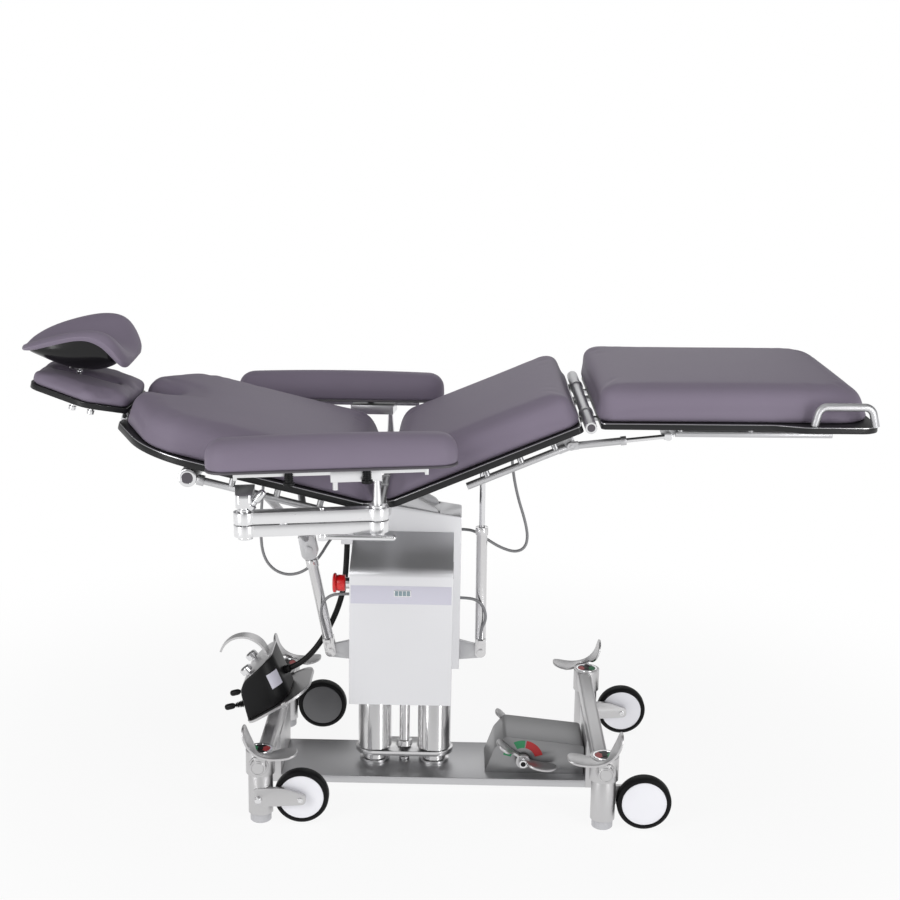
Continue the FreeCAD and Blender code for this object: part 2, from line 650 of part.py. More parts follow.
def seat_fittings():
    rail_n = SEAT_N - 27
    lugs = []
    s_pin, n_pin = into_seat(*LEG_PIN_SEAT)
    near = side_rail(200, s_pin - LEG_EYE_R - 3, -RAIL_Y, rail_n, SEAT_N, SEAT_SPACERS, 1)
    lug_y = -RAIL_Y + LEG_EYE_HALF + AIR
    lug_side = [(s_pin - 30, n_pin - 10), (s_pin + 11, n_pin - 10), (s_pin + 11, SEAT_N), (s_pin - 30, SEAT_N)]
    lug = slab_xz(lug_side, [0, 9, 0, 0], lug_y, lug_y + 6)
    pin = cross(s_pin, n_pin, LEG_PISTON_R - RUN, -RAIL_Y - LEG_EYE_HALF, lug_y)
    near = fuse(near, lug, pin)
    s_top, n_top = into_seat(*SEAT_PINS[1])
    for y0, y1 in ((-EYE_HALF - AIR - 9, -EYE_HALF - AIR), (EYE_HALF + AIR, EYE_HALF + AIR + 9)):
        cheek = slab_xz([(s_top - 18, n_top - 16), (s_top + 18, n_top - 16),
                         (s_top + 26, SEAT_N), (s_top - 26, SEAT_N)], [12, 12, 0, 0], y0, y1)
        head_y = (y0 - 4, y0) if y0 < 0 else (y1, y1 + 4)
        lugs.append(cheek.fuse(cross(s_top, n_top, 9, *head_y)))
    inner = STRAP_Y - 2 * STRAP_T
    for y0 in (-inner - STRAP_T, inner):
        strap = slab_xz([(-16, -16), (16, -16), (34, SEAT_N), (4, SEAT_N), (-16, 10)], [14, 10, 0, 0, 10],
                        y0, y0 + STRAP_T)
        lugs.append(strap.cut(cross(0, 0, HINGE_R + RUN, y0 - 1, y0 + STRAP_T + 1)))
    tube = cross(LEG_HINGE_S, LEG_HINGE_N, LEG_TUBE_R, -HALF_W, HALF_W)
    ears_out = []
    for y0 in (-HALF_W - 11, HALF_W - 1):
        ears_out.append(cross(LEG_HINGE_S, LEG_HINGE_N, LEG_TUBE_R, y0, y0 + 12))
    straps = [box(SEAT_S1 - 6, LEG_HINGE_S, y0, y0 + 14, LEG_HINGE_N - 6, LEG_HINGE_N + 6)
              for y0 in (-200, -7, 186)]
    tube = fuse(tube, *ears_out, *straps).cut(seat_board())
    solids = [near, far_side(near), tube] + lugs
    return to_seat(Part.Compound(solids))


# Leg section, built at its hinge line
HANDLE_Y, HANDLE_R, HANDLE_BEND = LEG_FLARE - 13, 8.5, 20
HANDLE_S0, HANDLE_S1, HANDLE_TOP, HANDLE_LEAN = 474, 604, 50, 10
LEG_RAIL_N, LEG_RAIL_S1 = -23, 527
COLLAR_R, COLLAR_Y, COLLAR_T = 16, 150, 20


def leg_board():
    half = [(LEG_S0, HALF_W), (LEG_FLARE_S0, HALF_W), (LEG_FLARE_S1, LEG_FLARE), (LEG_S1, LEG_FLARE)]
    radii = [12, 60, 60, 40]
    return slab_xy(mirrored(half), radii + radii[::-1], LEG_N, LEG_N + LEG_BOARD_T)


def leg_plate():
    return to_leg(leg_board())


def leg_pad():
    half, end = HALF_W - 8, LEG_S1 - 6
    rows = [(LEG_S0 - 5, half - 12, 0.6), (LEG_S0 + 8, half - 3, 0.92), (LEG_S0 + 60, half, 1.0),
            ((LEG_S0 + end) / 2, half - 4, 1.0), (end - 70, half - 1, 1.0), (end - 26, half - 4, 0.93),
            (end - 8, half - 16, 0.72), (end, half - 34, 0.4)]
    return to_leg(cushion(rows, LEG_N + LEG_BOARD_T, PAD_T, 5))


def bent_tube(points, bend, r):
    """A tube along straight runs joined by arcs of one radius."""
    path = bend_path([V(*p) for p in points], lambda turn, run: bend)
    return sweep(path, r)


def bend_path(points, radius_of):
    """Open path of straight runs and tangent arcs; radius_of gives each arc's radius."""
    edges, last = [], points[0]
    for before, here, after in zip(points, points[1:], points[2:]):
        a, b = (before - here).normalize(), (after - here).normalize()
        half = math.acos(max(-1, min(1, a.dot(b)))) / 2
        turn = math.pi - 2 * half
        r = radius_of(turn, min((before - here).Length, (after - here).Length))
        cut = r / math.tan(half)
        start, end = here + a * cut, here + b * cut
        middle = here + (a + b).normalize() * (r / math.sin(half) - r)
        edges.append(Part.LineSegment(last, start).toShape())
        edges.append(Part.Arc(start, middle, end).toShape())
        last = end
    edges.append(Part.LineSegment(last, points[-1]).toShape())
    return Part.Wire(edges)


def sweep(path, r):
    start = path.Edges[0]
    ring = Part.Circle(start.valueAt(start.FirstParameter), start.tangentAt(start.FirstParameter), r)
    return path.makePipeShell([Part.Wire([ring.toShape()])], True, False)


def leg_fittings():
    s_pin, n_pin = into_leg(*LEG_PIN_LEG)
    under, top = LEG_N, LEG_N + LEG_BOARD_T
    lug_y = -RAIL_Y + LEG_EYE_HALF + AIR
    rail = side_rail(s_pin + LEG_EYE_R + 6, LEG_RAIL_S1, -RAIL_Y, LEG_RAIL_N, under, LEG_SPACERS, 1)
    lug_side = [(s_pin - 10, n_pin - 10), (s_pin + 10, n_pin - 10), (s_pin + 22, under), (s_pin - 22, under)]
    lug = slab_xz(lug_side, [9, 9, 0, 0], lug_y, lug_y + 6)
    handle = bent_tube([(HANDLE_S0, -HANDLE_Y, top), (HANDLE_S0 + HANDLE_LEAN, -HANDLE_Y, HANDLE_TOP),
                        (HANDLE_S1 - HANDLE_LEAN, -HANDLE_Y, HANDLE_TOP), (HANDLE_S1, -HANDLE_Y, top)],
                       HANDLE_BEND, HANDLE_R)
    handle = handle.cut(leg_board())
    collar = cross(0, 0, COLLAR_R, -COLLAR_Y - COLLAR_T, -COLLAR_Y)
    collar = collar.fuse(box(0, LEG_S0 + 20, -COLLAR_Y - COLLAR_T, -COLLAR_Y, under - 8, under))
    collar = collar.cut(cross(0, 0, LEG_TUBE_R + RUN, -COLLAR_Y - COLLAR_T - 1, -COLLAR_Y + 1))
    near = [rail, lug, handle, collar.cut(leg_board()).removeSplitter()]
    return to_leg(Part.Compound(near + [far_side(shape) for shape in near]))


# Back section, built at the common hinge with the head end towards minus X
YOKE_HALF, YOKE_RISE, YOKE_BRIDGE = 19, 34, 24
CHEEK_T = 9
STRUT_R, STRUT_S = 9, 250
CLAMP_S = 288
HEAD_HINGE_N, HEAD_PIN_R, HEAD_KNUCKLE_R = 38, 5, 9
HEAD_LUG_Y, HEAD_LUG_T, HEAD_LUG_R = 85, 12, 7.6
RAIL_END_S, CROSS_HALF = 405, HALF_W - 10


def back_outline():
    half = [(-BACK_S0, HALF_W), (-BACK_SHOULDER_S, HALF_W + 5), (-BACK_S1, BACK_END_HALF)]
    radii = [VALLEY_CORNER_R, SHOULDER_R, BACK_END_R]
    return mirrored(half), radii + radii[::-1]


def back_plate():
    return to_back(slab_xy(*back_outline(), BACK_N, BACK_N + BOARD_T))


def back_pad():
    half, s0 = HALF_W - 8, BACK_S0 + 2
    rows = [(s0, half - 8, 0.1), (s0 + 0.45 * VALLEY_RUN, half - 2, 0.62), (s0 + VALLEY_RUN, half, 0.94),
            (s0 + VALLEY_RUN + 60, half, 1.0), (BACK_SHOULDER_S - 195, half - 2, 1.0),
            (BACK_SHOULDER_S - 75, half - 1, 1.0), (BACK_SHOULDER_S - 25, half - 8, 1.0),
            (BACK_SHOULDER_S + 15, half - 36, 1.0), (BACK_S1 - 47, 198, 0.97), (BACK_S1 - 25, 150, 0.85),
            (BACK_S1 - 17, 120, 0.5)]
    z0 = BACK_N + BOARD_T
    pad = cushion([(-s, h, share) for s, h, share in rows], z0, PAD_T, 5)
    notch = slab_xy([(-NOTCH_S, NOTCH_HALF), (-BACK_S1 - 30, NOTCH_HALF), (-BACK_S1 - 30, -NOTCH_HALF),
                     (-NOTCH_S, -NOTCH_HALF)], [NOTCH_HALF - 6, 0, 0, NOTCH_HALF - 6], z0 - 1, z0 + 2 * PAD_T)
    return to_back(pad.cut(notch))


def into_back(x, z):
    a = math.radians(BACK_RISE)
    dx, dz = x - HINGE_X, z - HINGE_Z
    return dz * math.sin(a) - dx * math.cos(a), dx * math.sin(a) + dz * math.cos(a)


def back_yoke():
    """Clevis round the cylinder's rod eye, with struts out to the side rails (in place)."""
    y0 = EYE_HALF + AIR
    cheeks = []
    for side in (-1, 1):
        faces = sorted((side * y0, side * (y0 + CHEEK_T)))
        cheeks.append(slab_xz([(-YOKE_HALF, -YOKE_DROP), (YOKE_HALF, -YOKE_DROP), (YOKE_HALF, YOKE_RISE),
                               (-YOKE_HALF, YOKE_RISE)], [16, 16, 0, 0], *faces))
        head = sorted((side * (y0 + CHEEK_T), side * (y0 + CHEEK_T + 4)))
        cheeks.append(cross(0, 0, 9, *head))
    bridge = box(-YOKE_HALF, YOKE_HALF, -y0 - CHEEK_T, y0 + CHEEK_T, YOKE_BRIDGE, YOKE_RISE)
    yoke = fuse(*cheeks, bridge)
    (x0, z0), (x1, z1) = BACK_PINS
    yoke.rotate(ORIGIN, Y_AXIS, math.degrees(math.atan2(x1 - x0, z1 - z0)))
    yoke.translate(V(x1, 0, z1))
    share = YOKE_RISE / pin_span(BACK_PINS)
    foot = V(x1 + (x1 - x0) * share, 0, z1 + (z1 - z0) * share)
    x, z = back_point(STRUT_S, BACK_RAIL_N)
    struts = [rod(foot + V(0, side * 12, -6), V(x, side * BACK_RAIL_Y, z), STRUT_R) for side in (-1, 1)]
    return fuse(yoke, *struts)


def arm_clamp(side):
    """Block on a side rail with the pivot post of the armrest (in place)."""
    reach = ARM_OUT[side] - BACK_RAIL_Y + 14
    x, z = back_point(CLAMP_S, BACK_RAIL_N)
    lift = z - ARM_Z
    block = slab_xy([(-18, -15), (18, -15), (22, reach), (-22, reach)], [12, 12, 6, 6], lift - 14, lift + 14)
    pivot = fuse(block, post(0, 0, ARM_POST_R, -2 * ARM_T - ARM_GAP - 7, lift), post(0, 0, 15, AIR, 6),
                 post(0, 0, 16, -2 * ARM_T - ARM_GAP - 7, -2 * ARM_T - ARM_GAP - AIR))
    return sided(pivot, side)


def back_fittings():
    near = side_rail(100, CROSS_TUBE_S, -BACK_RAIL_Y, BACK_RAIL_N, BACK_N, BACK_SPACERS, -1)
    rail_end = V(-RAIL_END_S, -BACK_RAIL_Y, BACK_RAIL_N)
    collar = rod(rail_end + V(15, 0, 0), rail_end, RAIL_R + 4)
    near = near.fuse(collar)
    tube = cross(-CROSS_TUBE_S, BACK_RAIL_N, CROSS_TUBE_R, -CROSS_HALF, CROSS_HALF)
    hangers = [box(-CROSS_TUBE_S - 12, -CROSS_TUBE_S + 12, y - 10, y + 10, BACK_RAIL_N, BACK_N)
               for y in (-200, 200)]
    rails = to_back(fuse(near, far_side(near), tube, *hangers))
    frame = fuse(rails, back_yoke(), arm_clamp("near"), arm_clamp("far"))
    rest = []
    for y0 in (-STRAP_Y - STRAP_T, STRAP_Y):
        strap = slab_xz([(16, -16), (-16, -16), (-34, BACK_N), (-BACK_S0, BACK_N), (16, 10)],
                        [14, 10, 0, 0, 10], y0, y0 + STRAP_T)
        rest.append(strap.cut(cross(0, 0, HINGE_R + RUN, y0 - 1, y0 + STRAP_T + 1)))
    top = BACK_N + BOARD_T
    for y0 in (-HEAD_LUG_Y - HEAD_LUG_T, HEAD_LUG_Y):
        y1 = y0 + HEAD_LUG_T
        lug = box(-HEAD_HINGE_S - HEAD_LUG_R, -HEAD_HINGE_S + HEAD_LUG_R, y0, y1, top, HEAD_HINGE_N)
        lug = fuse(lug, cross(-HEAD_HINGE_S, HEAD_HINGE_N, HEAD_LUG_R, y0, y1))
        rest.append(lug.cut(cross(-HEAD_HINGE_S, HEAD_HINGE_N, HEAD_PIN_R + RUN, y0 - 1, y1 + 1)))
    return Part.Compound([frame] + [to_back(shape) for shape in rest])


# Head section, parallel to the back, and the headrest on its sliding stem
STEM_R, STEM_FLANGE_R, BALL_R, BALL_N = 8, 16, 7, 91
BALL_STEM_R = 4.5
SADDLE_L, SADDLE_HALF = 22, 12


def head_slot(half, z0, z1):
    outline = mirrored([(-HEAD_SLOT_S0, half), (-HEAD_SLOT_S1, half)])
    return slab_xy(outline, half - 0.01, z0, z1)


def head_plate():
    half = [(-HEAD_S0, HEAD_NECK_HALF), (-HEAD_WIDE_S, HEAD_HALF), (-HEAD_S1, HEAD_TIP_HALF)]
    radii = [10, 60, 40]
    top = HEAD_N + HEAD_T
    board = slab_xy(mirrored(half), radii + radii[::-1], HEAD_N, top)
    board = board.cut(head_slot(STEM_R + RUN, HEAD_N - 1, top + 1))
    knuckles = []
    for side in (-1, 1):
        inner, face, tip = HEAD_LUG_Y - 25, HEAD_LUG_Y - AIR, HEAD_LUG_Y + HEAD_LUG_T + 3
        span = sorted((side * inner, side * face))
        knuckles.append(cross(-HEAD_HINGE_S, HEAD_HINGE_N, HEAD_KNUCKLE_R, *span))
        knuckles.append(box(-HEAD_HINGE_S - HEAD_KNUCKLE_R, -HEAD_HINGE_S, *span, HEAD_HINGE_N, HEAD_N + 1))
        knuckles.append(cross(-HEAD_HINGE_S, HEAD_HINGE_N, HEAD_PIN_R, *sorted((side * inner, side * tip))))
    return to_back(fuse(board, *knuckles))


def head_pad():
    neck, tip = HEAD_NECK_HALF, HEAD_TIP_HALF
    shoulder = HEAD_WIDE_S + (HEAD_S1 - HEAD_WIDE_S) * 5 / 9
    rows = [(HEAD_S0 + 12, neck - 8, 0.5), (HEAD_S0 + 22, neck + 2, 0.9), (HEAD_WIDE_S, HEAD_HALF - 6, 1.0),
            (shoulder, tip + 28, 1.0), (HEAD_S1 - 18, tip + 2, 0.9), (HEAD_S1 - 5, tip - 10, 0.5)]
    z0 = HEAD_N + HEAD_T
    pad = cushion([(-s, h, share) for s, h, share in rows], z0, HEAD_PAD_T, 2)
    return to_back(pad.cut(head_slot(HEAD_SLOT_HALF, z0 - 1, z0 + 2 * HEAD_PAD_T)))


def headrest_stem():
    x, top = -STEM_S, HEAD_N + HEAD_T
    saddle = box(x - SADDLE_L, x + SADDLE_L, -SADDLE_HALF, SADDLE_HALF, top + AIR, top + HEAD_PAD_T - 2)
    arch = cross(x, top + AIR, SADDLE_L - 8, -SADDLE_HALF - 1, SADDLE_HALF + 1)
    arch = arch.cut(post(x, 0, STEM_R, top, top + HEAD_PAD_T))
    ball = Part.makeSphere(BALL_R, V(x, 0, BALL_N))
    stem = post(x, 0, STEM_R, HEAD_N - 12, top + HEAD_PAD_T - 2)
    flange = post(x, 0, STEM_FLANGE_R, HEAD_N - 12, HEAD_N - AIR)
    return to_back(fuse(saddle.cut(arch), stem, flange, post(x, 0, BALL_STEM_R, top, BALL_N), ball))


def rest_ring(x, half, rim, dip, thick):
    """One cross-section of the headrest pad: a saddle between two rolled rims."""
    top_l, top_r = V(x, -half + 12, rim), V(x, half - 12, rim)
    low_l, low_r = V(x, -half + 7, rim - thick), V(x, half - 7, rim - thick)
    return Part.Wire([
        Part.Arc(top_l, V(x, 0, rim - dip), top_r).toShape(),
        Part.Arc(top_r, V(x, half, rim - thick / 2), low_r).toShape(),
        Part.Arc(low_r, V(x, 0, rim - dip - thick - 4), low_l).toShape(),
        Part.Arc(low_l, V(x, -half, rim - thick / 2), top_l).toShape()])


def rest_pad():
    w = REST_HALF
    rows = [(0, 40, 325, 1, 8), (14, 72, 341, 3, 18), (46, 100, 357, 9, 23), (96, w - 4, 371, 18, 24),
            (150, w, 376, 22, 26), (190, w, 369, 16, 34), (219, w - 4, 349, 5, 50),
            (244, w - 14, 337, 2, 34), (259, w - 30, 329, 1, 10)]
    rings = [rest_ring(REST_TIP + dx, half, HINGE_Z + rise, dip, thick) for dx, half, rise, dip, thick in rows]
    return Part.makeLoft(rings, True, True)


def headrest_shell():
    x, z = back_point(STEM_S, BALL_N)
    rows = [(z + BALL_R + AIR, x - 20, x + 20, 20), (z + 16, x - 44, x + 50, 62),
            (z + 36, x - 56, x + 76, 92), (z + 84, x - 70, x + 92, 106)]
    rings = []
    for level, x0, x1, half in rows:
        points = [(x0, half), (x1, half), (x1, -half), (x0, -half)]
        rings.append(rounded_wire(points, min(half, (x1 - x0) / 2) * 0.9, lambda p: V(p.x, p.y, level)))
    bowl = Part.makeLoft(rings, True, True)
    pad = rest_pad()
    above = pad.copy()
    above.translate(V(0, 0, PAD_T / 2))
    disc = post(x, 0, 23, z + BALL_R + AIR, z + BALL_R + AIR + 4)
    solids = bowl.fuse(disc).cut(pad).cut(above).Solids
    return max(solids, key=lambda solid: solid.Volume)


# Armrests, built for the near side at the first post with the top of the arm at zero
BLOCK_U0, BLOCK_U1 = -100, 8
BLOCK_Z0, BLOCK_Z1 = 73, 96
RAIL_W = 24
RAIL_U0, RAIL_U1 = -303, 107
PAD_Z, PAD_U0 = 102, -363
LEVER_U, LEVER_L, LEVER_R = 165, 150, 6
KNOB_US = (-187, -24)
KNOB_R, KNOB_FLANGE_R = 8, 12


def sided(shape, side):
    """Set a piece built at the first post in its place on the near or the far side."""
    done = shape.copy()
    done.rotate(ORIGIN, V(0, 0, 1), ARM_YAW)
    done.rotate(ORIGIN, Y_AXIS, -ARM_TILT)
    done.translate(V(ARM_X, -ARM_OUT[side], ARM_Z))
    return done if side == "near" else far_side(done)


def link(z0, z1):
    return fuse(box(0, ARM_REACH, -ARM_HALF_W, ARM_HALF_W, z0, z1), post(0, 0, ARM_BOSS_R, z0, z1),
                post(ARM_REACH, 0, ARM_BOSS_R, z0, z1))


def arm_bottom():
    return -2 * ARM_T - ARM_GAP


def arm_plates(side):
    low = arm_bottom()
    body = fuse(link(-ARM_T, 0), link(low, low + ARM_T), post(ARM_REACH / 2 - 60, 0, 12, low + ARM_T, -ARM_T))
    for u, r in ((0, ARM_POST_R), (ARM_REACH, ARM_POST_R), (LEVER_U, LEVER_R)):
        body = body.cut(post(u, 0, r + RUN, low - 1, 1))
    return sided(body, side)


def clamp_lever(side):
    low = arm_bottom()
    tip = V(LEVER_U + LEVER_L, -42, low - 5)
    hub = post(LEVER_U, 0, 11, low - 16, low - AIR)
    body = fuse(hub, post(LEVER_U, 0, LEVER_R, low - 10, 4), rod(V(LEVER_U, 0, low - 9), tip, LEVER_R),
                Part.makeSphere(LEVER_R, tip))
    return sided(body, side)


def arm_post(side):
    low = arm_bottom()
    cone = Part.makeCone(ARM_POST_R, 6, BLOCK_Z0 - 4, V(ARM_REACH, 0, 4))
    shaft = fuse(post(ARM_REACH, 0, ARM_POST_R, low - 7, 5), post(ARM_REACH, 0, 15, low - 7, low - AIR),
                 post(ARM_REACH, 0, 18, AIR, 6), cone)
    u0, u1 = ARM_REACH + BLOCK_U0, ARM_REACH + BLOCK_U1
    block = box(u0, u1, -PAD_OFFSET - RAIL_W / 2 - 5, 9, BLOCK_Z0, BLOCK_Z1)
    block = block.cut(box(u0 - 1, u1 + 1, -PAD_OFFSET - RAIL_W / 2 - RUN, -PAD_OFFSET + RAIL_W / 2 + RUN,
                          BLOCK_Z1 - REST_RAIL_T - RUN, BLOCK_Z1 + 1))
    screw = post(u0 + 10, -PAD_OFFSET, 6, BLOCK_Z0 - 20, BLOCK_Z0)
    return sided(fuse(shaft, block, screw), side)


def armrest_rail(side):
    shift = ARM_REACH + REST_SLIDE[side]
    z0 = BLOCK_Z1 - REST_RAIL_T
    half = RAIL_W / 2
    bar = box(shift + RAIL_U0, shift + RAIL_U1, -PAD_OFFSET - half, -PAD_OFFSET + half, z0, BLOCK_Z1)
    stops = [box(shift + u, shift + u + 8, -PAD_OFFSET - half, -PAD_OFFSET + half, z0 - 6, PAD_Z)
             for u in (RAIL_U0, RAIL_U1 - 8)]
    rail = fuse(bar, *stops)
    knobs = []
    for u in KNOB_US:
        y = -PAD_OFFSET - half - 5 - KNOB_FLANGE_R - 1
        knobs.append(fuse(post(shift + u, y, KNOB_R, BLOCK_Z0 + 6, PAD_Z),
                          post(shift + u, y, KNOB_FLANGE_R, BLOCK_Z0, BLOCK_Z0 + 7)))
    return sided(Part.Compound([rail] + knobs), side)


def armrest_pad(side):
    half, end = REST_PAD_W / 2, REST_PAD_L
    rows = [(0, 20, 0.45), (10, 34, 0.78), (36, 44, 0.96), (90, half, 1.0), (end / 2, half - 1, 1.0),
            (end - 90, half, 1.0), (end - 34, 43, 0.96), (end - 9, 32, 0.78), (end, 18, 0.45)]
    pad = cushion(rows, PAD_Z, REST_PAD_H - 4, 4)
    pad.translate(V(ARM_REACH + PAD_U0 + REST_SLIDE[side], -PAD_OFFSET, 0))
    return sided(pad, side)


# Foot pedal in the middle of the base
CENTRAL_TIP, CENTRAL_LOW = 71, 80
CENTRAL = [(-59, CENTRAL_TIP - 2), (-34, 24), (30, -3), (CENTRAL_LOW, -9), (CENTRAL_LOW, -3), (30, 4),
           (-28, 29), (-53, CENTRAL_TIP)]
CENTRAL_R = [0, 40, 60, 3, 3, 54, 34, 0]
CENTRAL_LOBE_Y = (74, 124)


def pedal_housing():
    outline = [(PEDAL_X0, PLATE_Z1), (PEDAL_X1, PLATE_Z1), (PEDAL_X1, 107),
               (PEDAL_X0 + 47, 126), (PEDAL_X0 + 22, 95)]
    body = slab_xz(outline, [0, 0, 10, 16, 30], -PEDAL_HALF, PEDAL_HALF)
    return body.cut(cross(*PEDAL_AXLE, SHAFT_R + RUN, -PEDAL_HALF - 1, PEDAL_HALF + 1))


def central_pedal():
    x, z = PEDAL_AXLE
    y0, y1 = CENTRAL_LOBE_Y
    parts = [cross(x, z, SHAFT_R, -y0 - 20, y0 + 20)]
    for side in (-1, 1):
        hub_y = sorted((side * y0, side * (y0 + 12)))
        lobe_y = sorted((side * y0, side * y1))
        points = [(x + u, z + v) for u, v in CENTRAL]
        band = slab_xz(points, CENTRAL_R, *hub_y)
        wide = slab_xz(points, CENTRAL_R, *lobe_y)
        high = slab_yz(*lobe_plan(z + CENTRAL_TIP - LOBE_L, z + CENTRAL_TIP, *lobe_y), x - 90, x - 20)
        low = slab_xy(*lobe_plan(x + CENTRAL_LOW - LOBE_L, x + CENTRAL_LOW, *lobe_y), z - 30, z + 30)
        parts += [band, cross(x, z, 17, *hub_y), wide.common(high), wide.common(low)]
    return fuse(*parts)


# Foot control on the head crossbar, built along its sloping base plate
CONTROL_SIDE = [(2, 5), (116, 5), (130, 114), (28, 92)]
CONTROL_PLATE_T, CONTROL_PLATE_L = 6, 170
STICK_Y, BUTTON_Y = 45, 50
BUTTON_R, BUTTON_STEM_R, BUTTON_TRAVEL = 15, 7, 4
BUTTON_SHARE, STICK_SHARE, GLAND_SHARE = 0.7, 0.64, 0.42      # places along the sides they stand on
BALL_STICK_R, NECK_R, GRIP_R, STICK_L = 6, 4.5, 7.5, 48
GLAND_R, GLAND_L = 10, 14
BAIL_X, BAIL_Z, BAIL_R, BAIL_T, BAIL_HALF, BAIL_TIP_Z = -458, 285, 61, 5, 20, 303


def control_point(u, w):
    a = math.radians(CONTROL_TILT)
    return CONTROL_X + u * math.cos(a) - w * math.sin(a), CONTROL_Z + u * math.sin(a) + w * math.cos(a)


def to_control(shape):
    return place(shape, CONTROL_X, CONTROL_Z, -CONTROL_TILT)


def face_frame(i, share):
    """Point on one side of the control box's side view, with its outward direction, in place."""
    (u0, w0), (u1, w1) = CONTROL_SIDE[i], CONTROL_SIDE[(i + 1) % 4]
    a, b = control_point(u0, w0), control_point(u1, w1)
    dx, dz = b[0] - a[0], b[1] - a[1]
    out = V(dz, 0, -dx).normalize()
    return V(a[0] + dx * share, 0, a[1] + dz * share), out


def on_face(i, share, y, d0, d1, r):
    base, out = face_frame(i, share)
    base = base + V(0, y, 0)
    return rod(base + out * d0, base + out * d1, r)


def control_housing():
    outline = mirrored([(0, CONTROL_HALF), (CONTROL_PLATE_L, CONTROL_HALF)])
    plate = slab_xy(outline, [30, 64, 64, 30], 0, CONTROL_PLATE_T)
    case = slab_xz(CONTROL_SIDE, [0, 0, 12, 16], -CONTROL_HALF + 18, CONTROL_HALF - 18)
    ring = cross(BAIL_X, BAIL_Z, BAIL_R, -BAIL_HALF, BAIL_HALF)
    ring = ring.cut(cross(BAIL_X, BAIL_Z, BAIL_R - BAIL_T, -BAIL_HALF - 1, BAIL_HALF + 1))
    keep = box(BAIL_X - 2 * BAIL_R, BAIL_X, -BAIL_HALF, BAIL_HALF, BAIL_TIP_Z, BAIL_Z + 2 * BAIL_R)
    keep = keep.fuse(box(BAIL_X, BAIL_X + 2 * BAIL_R, -BAIL_HALF, BAIL_HALF, BAIL_Z, BAIL_Z + 2 * BAIL_R))
    body = fuse(to_control(fuse(plate, case)), ring.common(keep))
    x0, x1 = bar_x("head") - BAR_SIZE / 2, bar_x("head") + BAR_SIZE / 2
    top = BAR_Z0 + BAR_SIZE
    slope = math.tan(math.radians(CONTROL_TILT))
    z_at = [CONTROL_Z + (x - CONTROL_X) * slope for x in (x0, x1)]
    holder = slab_xz([(x0, top), (x1, top), (x1, z_at[1] + 1), (x0, z_at[0] + 1)], 0, -30, 30)
    body = fuse(body, holder, on_face(1, GLAND_SHARE, 0, -2, GLAND_L, GLAND_R))
    for side in (-1, 1):
        body = body.cut(on_face(2, BUTTON_SHARE, side * BUTTON_Y, -16, 1, BUTTON_STEM_R + RUN))
    return body


def knob(y):
    stem = on_face(2, BUTTON_SHARE, y, -10, 8, BUTTON_STEM_R)
    return fuse(stem, on_face(2, BUTTON_SHARE, y, BUTTON_TRAVEL + 1, 20, BUTTON_R))


def joystick(y):
    """A stick turned in one piece: ball, bellows, neck and grip, on the line out of the box's left side."""
    base, out = face_frame(3, STICK_SHARE)
    ball, grip = BALL_STICK_R, GRIP_R
    waist = math.sqrt(ball ** 2 - (ball - 1) ** 2)
    runs = [(ball - 1, waist), (ball + 0.5, 8), (ball + 0.5, 16), (NECK_R, 20), (grip, 26),
            (grip, STICK_L - grip)]
    points = [V(r, 0, d) for r, d in runs]
    low, high = V(0, 0, -ball), V(0, 0, STICK_L)
    edges = [Part.Arc(low, V(ball, 0, 0), points[0]).toShape()]
    edges += [Part.LineSegment(a, b).toShape() for a, b in zip(points, points[1:])]
    corner = grip * math.sqrt(0.5)
    edges.append(Part.Arc(points[-1], V(corner, 0, STICK_L - grip + corner), high).toShape())
    edges.append(Part.LineSegment(high, low).toShape())
    stick = Part.Face(Part.Wire(edges)).revolve(ORIGIN, V(0, 0, 1), 360)
    stick.rotate(ORIGIN, Y_AXIS, math.degrees(math.atan2(out.x, out.z)))
    stick.translate(base + out * (ball + AIR) + V(0, y, 0))
    return stick


# Cable and hoses: routes of hand-chosen points, each bend as round as its runs allow
SOCKET_Z, SOCKET_Y = 575, 20
CABLE_END_X = -211
BACK_HOSE_S, SEAT_HOSE_S = 290, 305


def gland_end():
    base, out = face_frame(1, GLAND_SHARE)
    return base + out * GLAND_L, out


def cable_route():
    start, out = gland_end()
    return [tuple(start), tuple(start + out * 24), (-296, 7, 298), (-270, 20, 331), (-247, 30, 374),
            (-230, 30, 418), (-218, 26, 468), (-213, 21, 522), (CABLE_END_X, SOCKET_Y, SOCKET_Z - AIR)]


def port_top(pins, side):
    """Point just above a cylinder's hose port, and the direction of the barrel."""
    (x0, z0), (x1, z1) = pins
    axis = V(x1 - x0, 0, z1 - z0).normalize()
    return V(x0, side * PORT_Y, z0) + axis * (PORT_H + AIR), axis


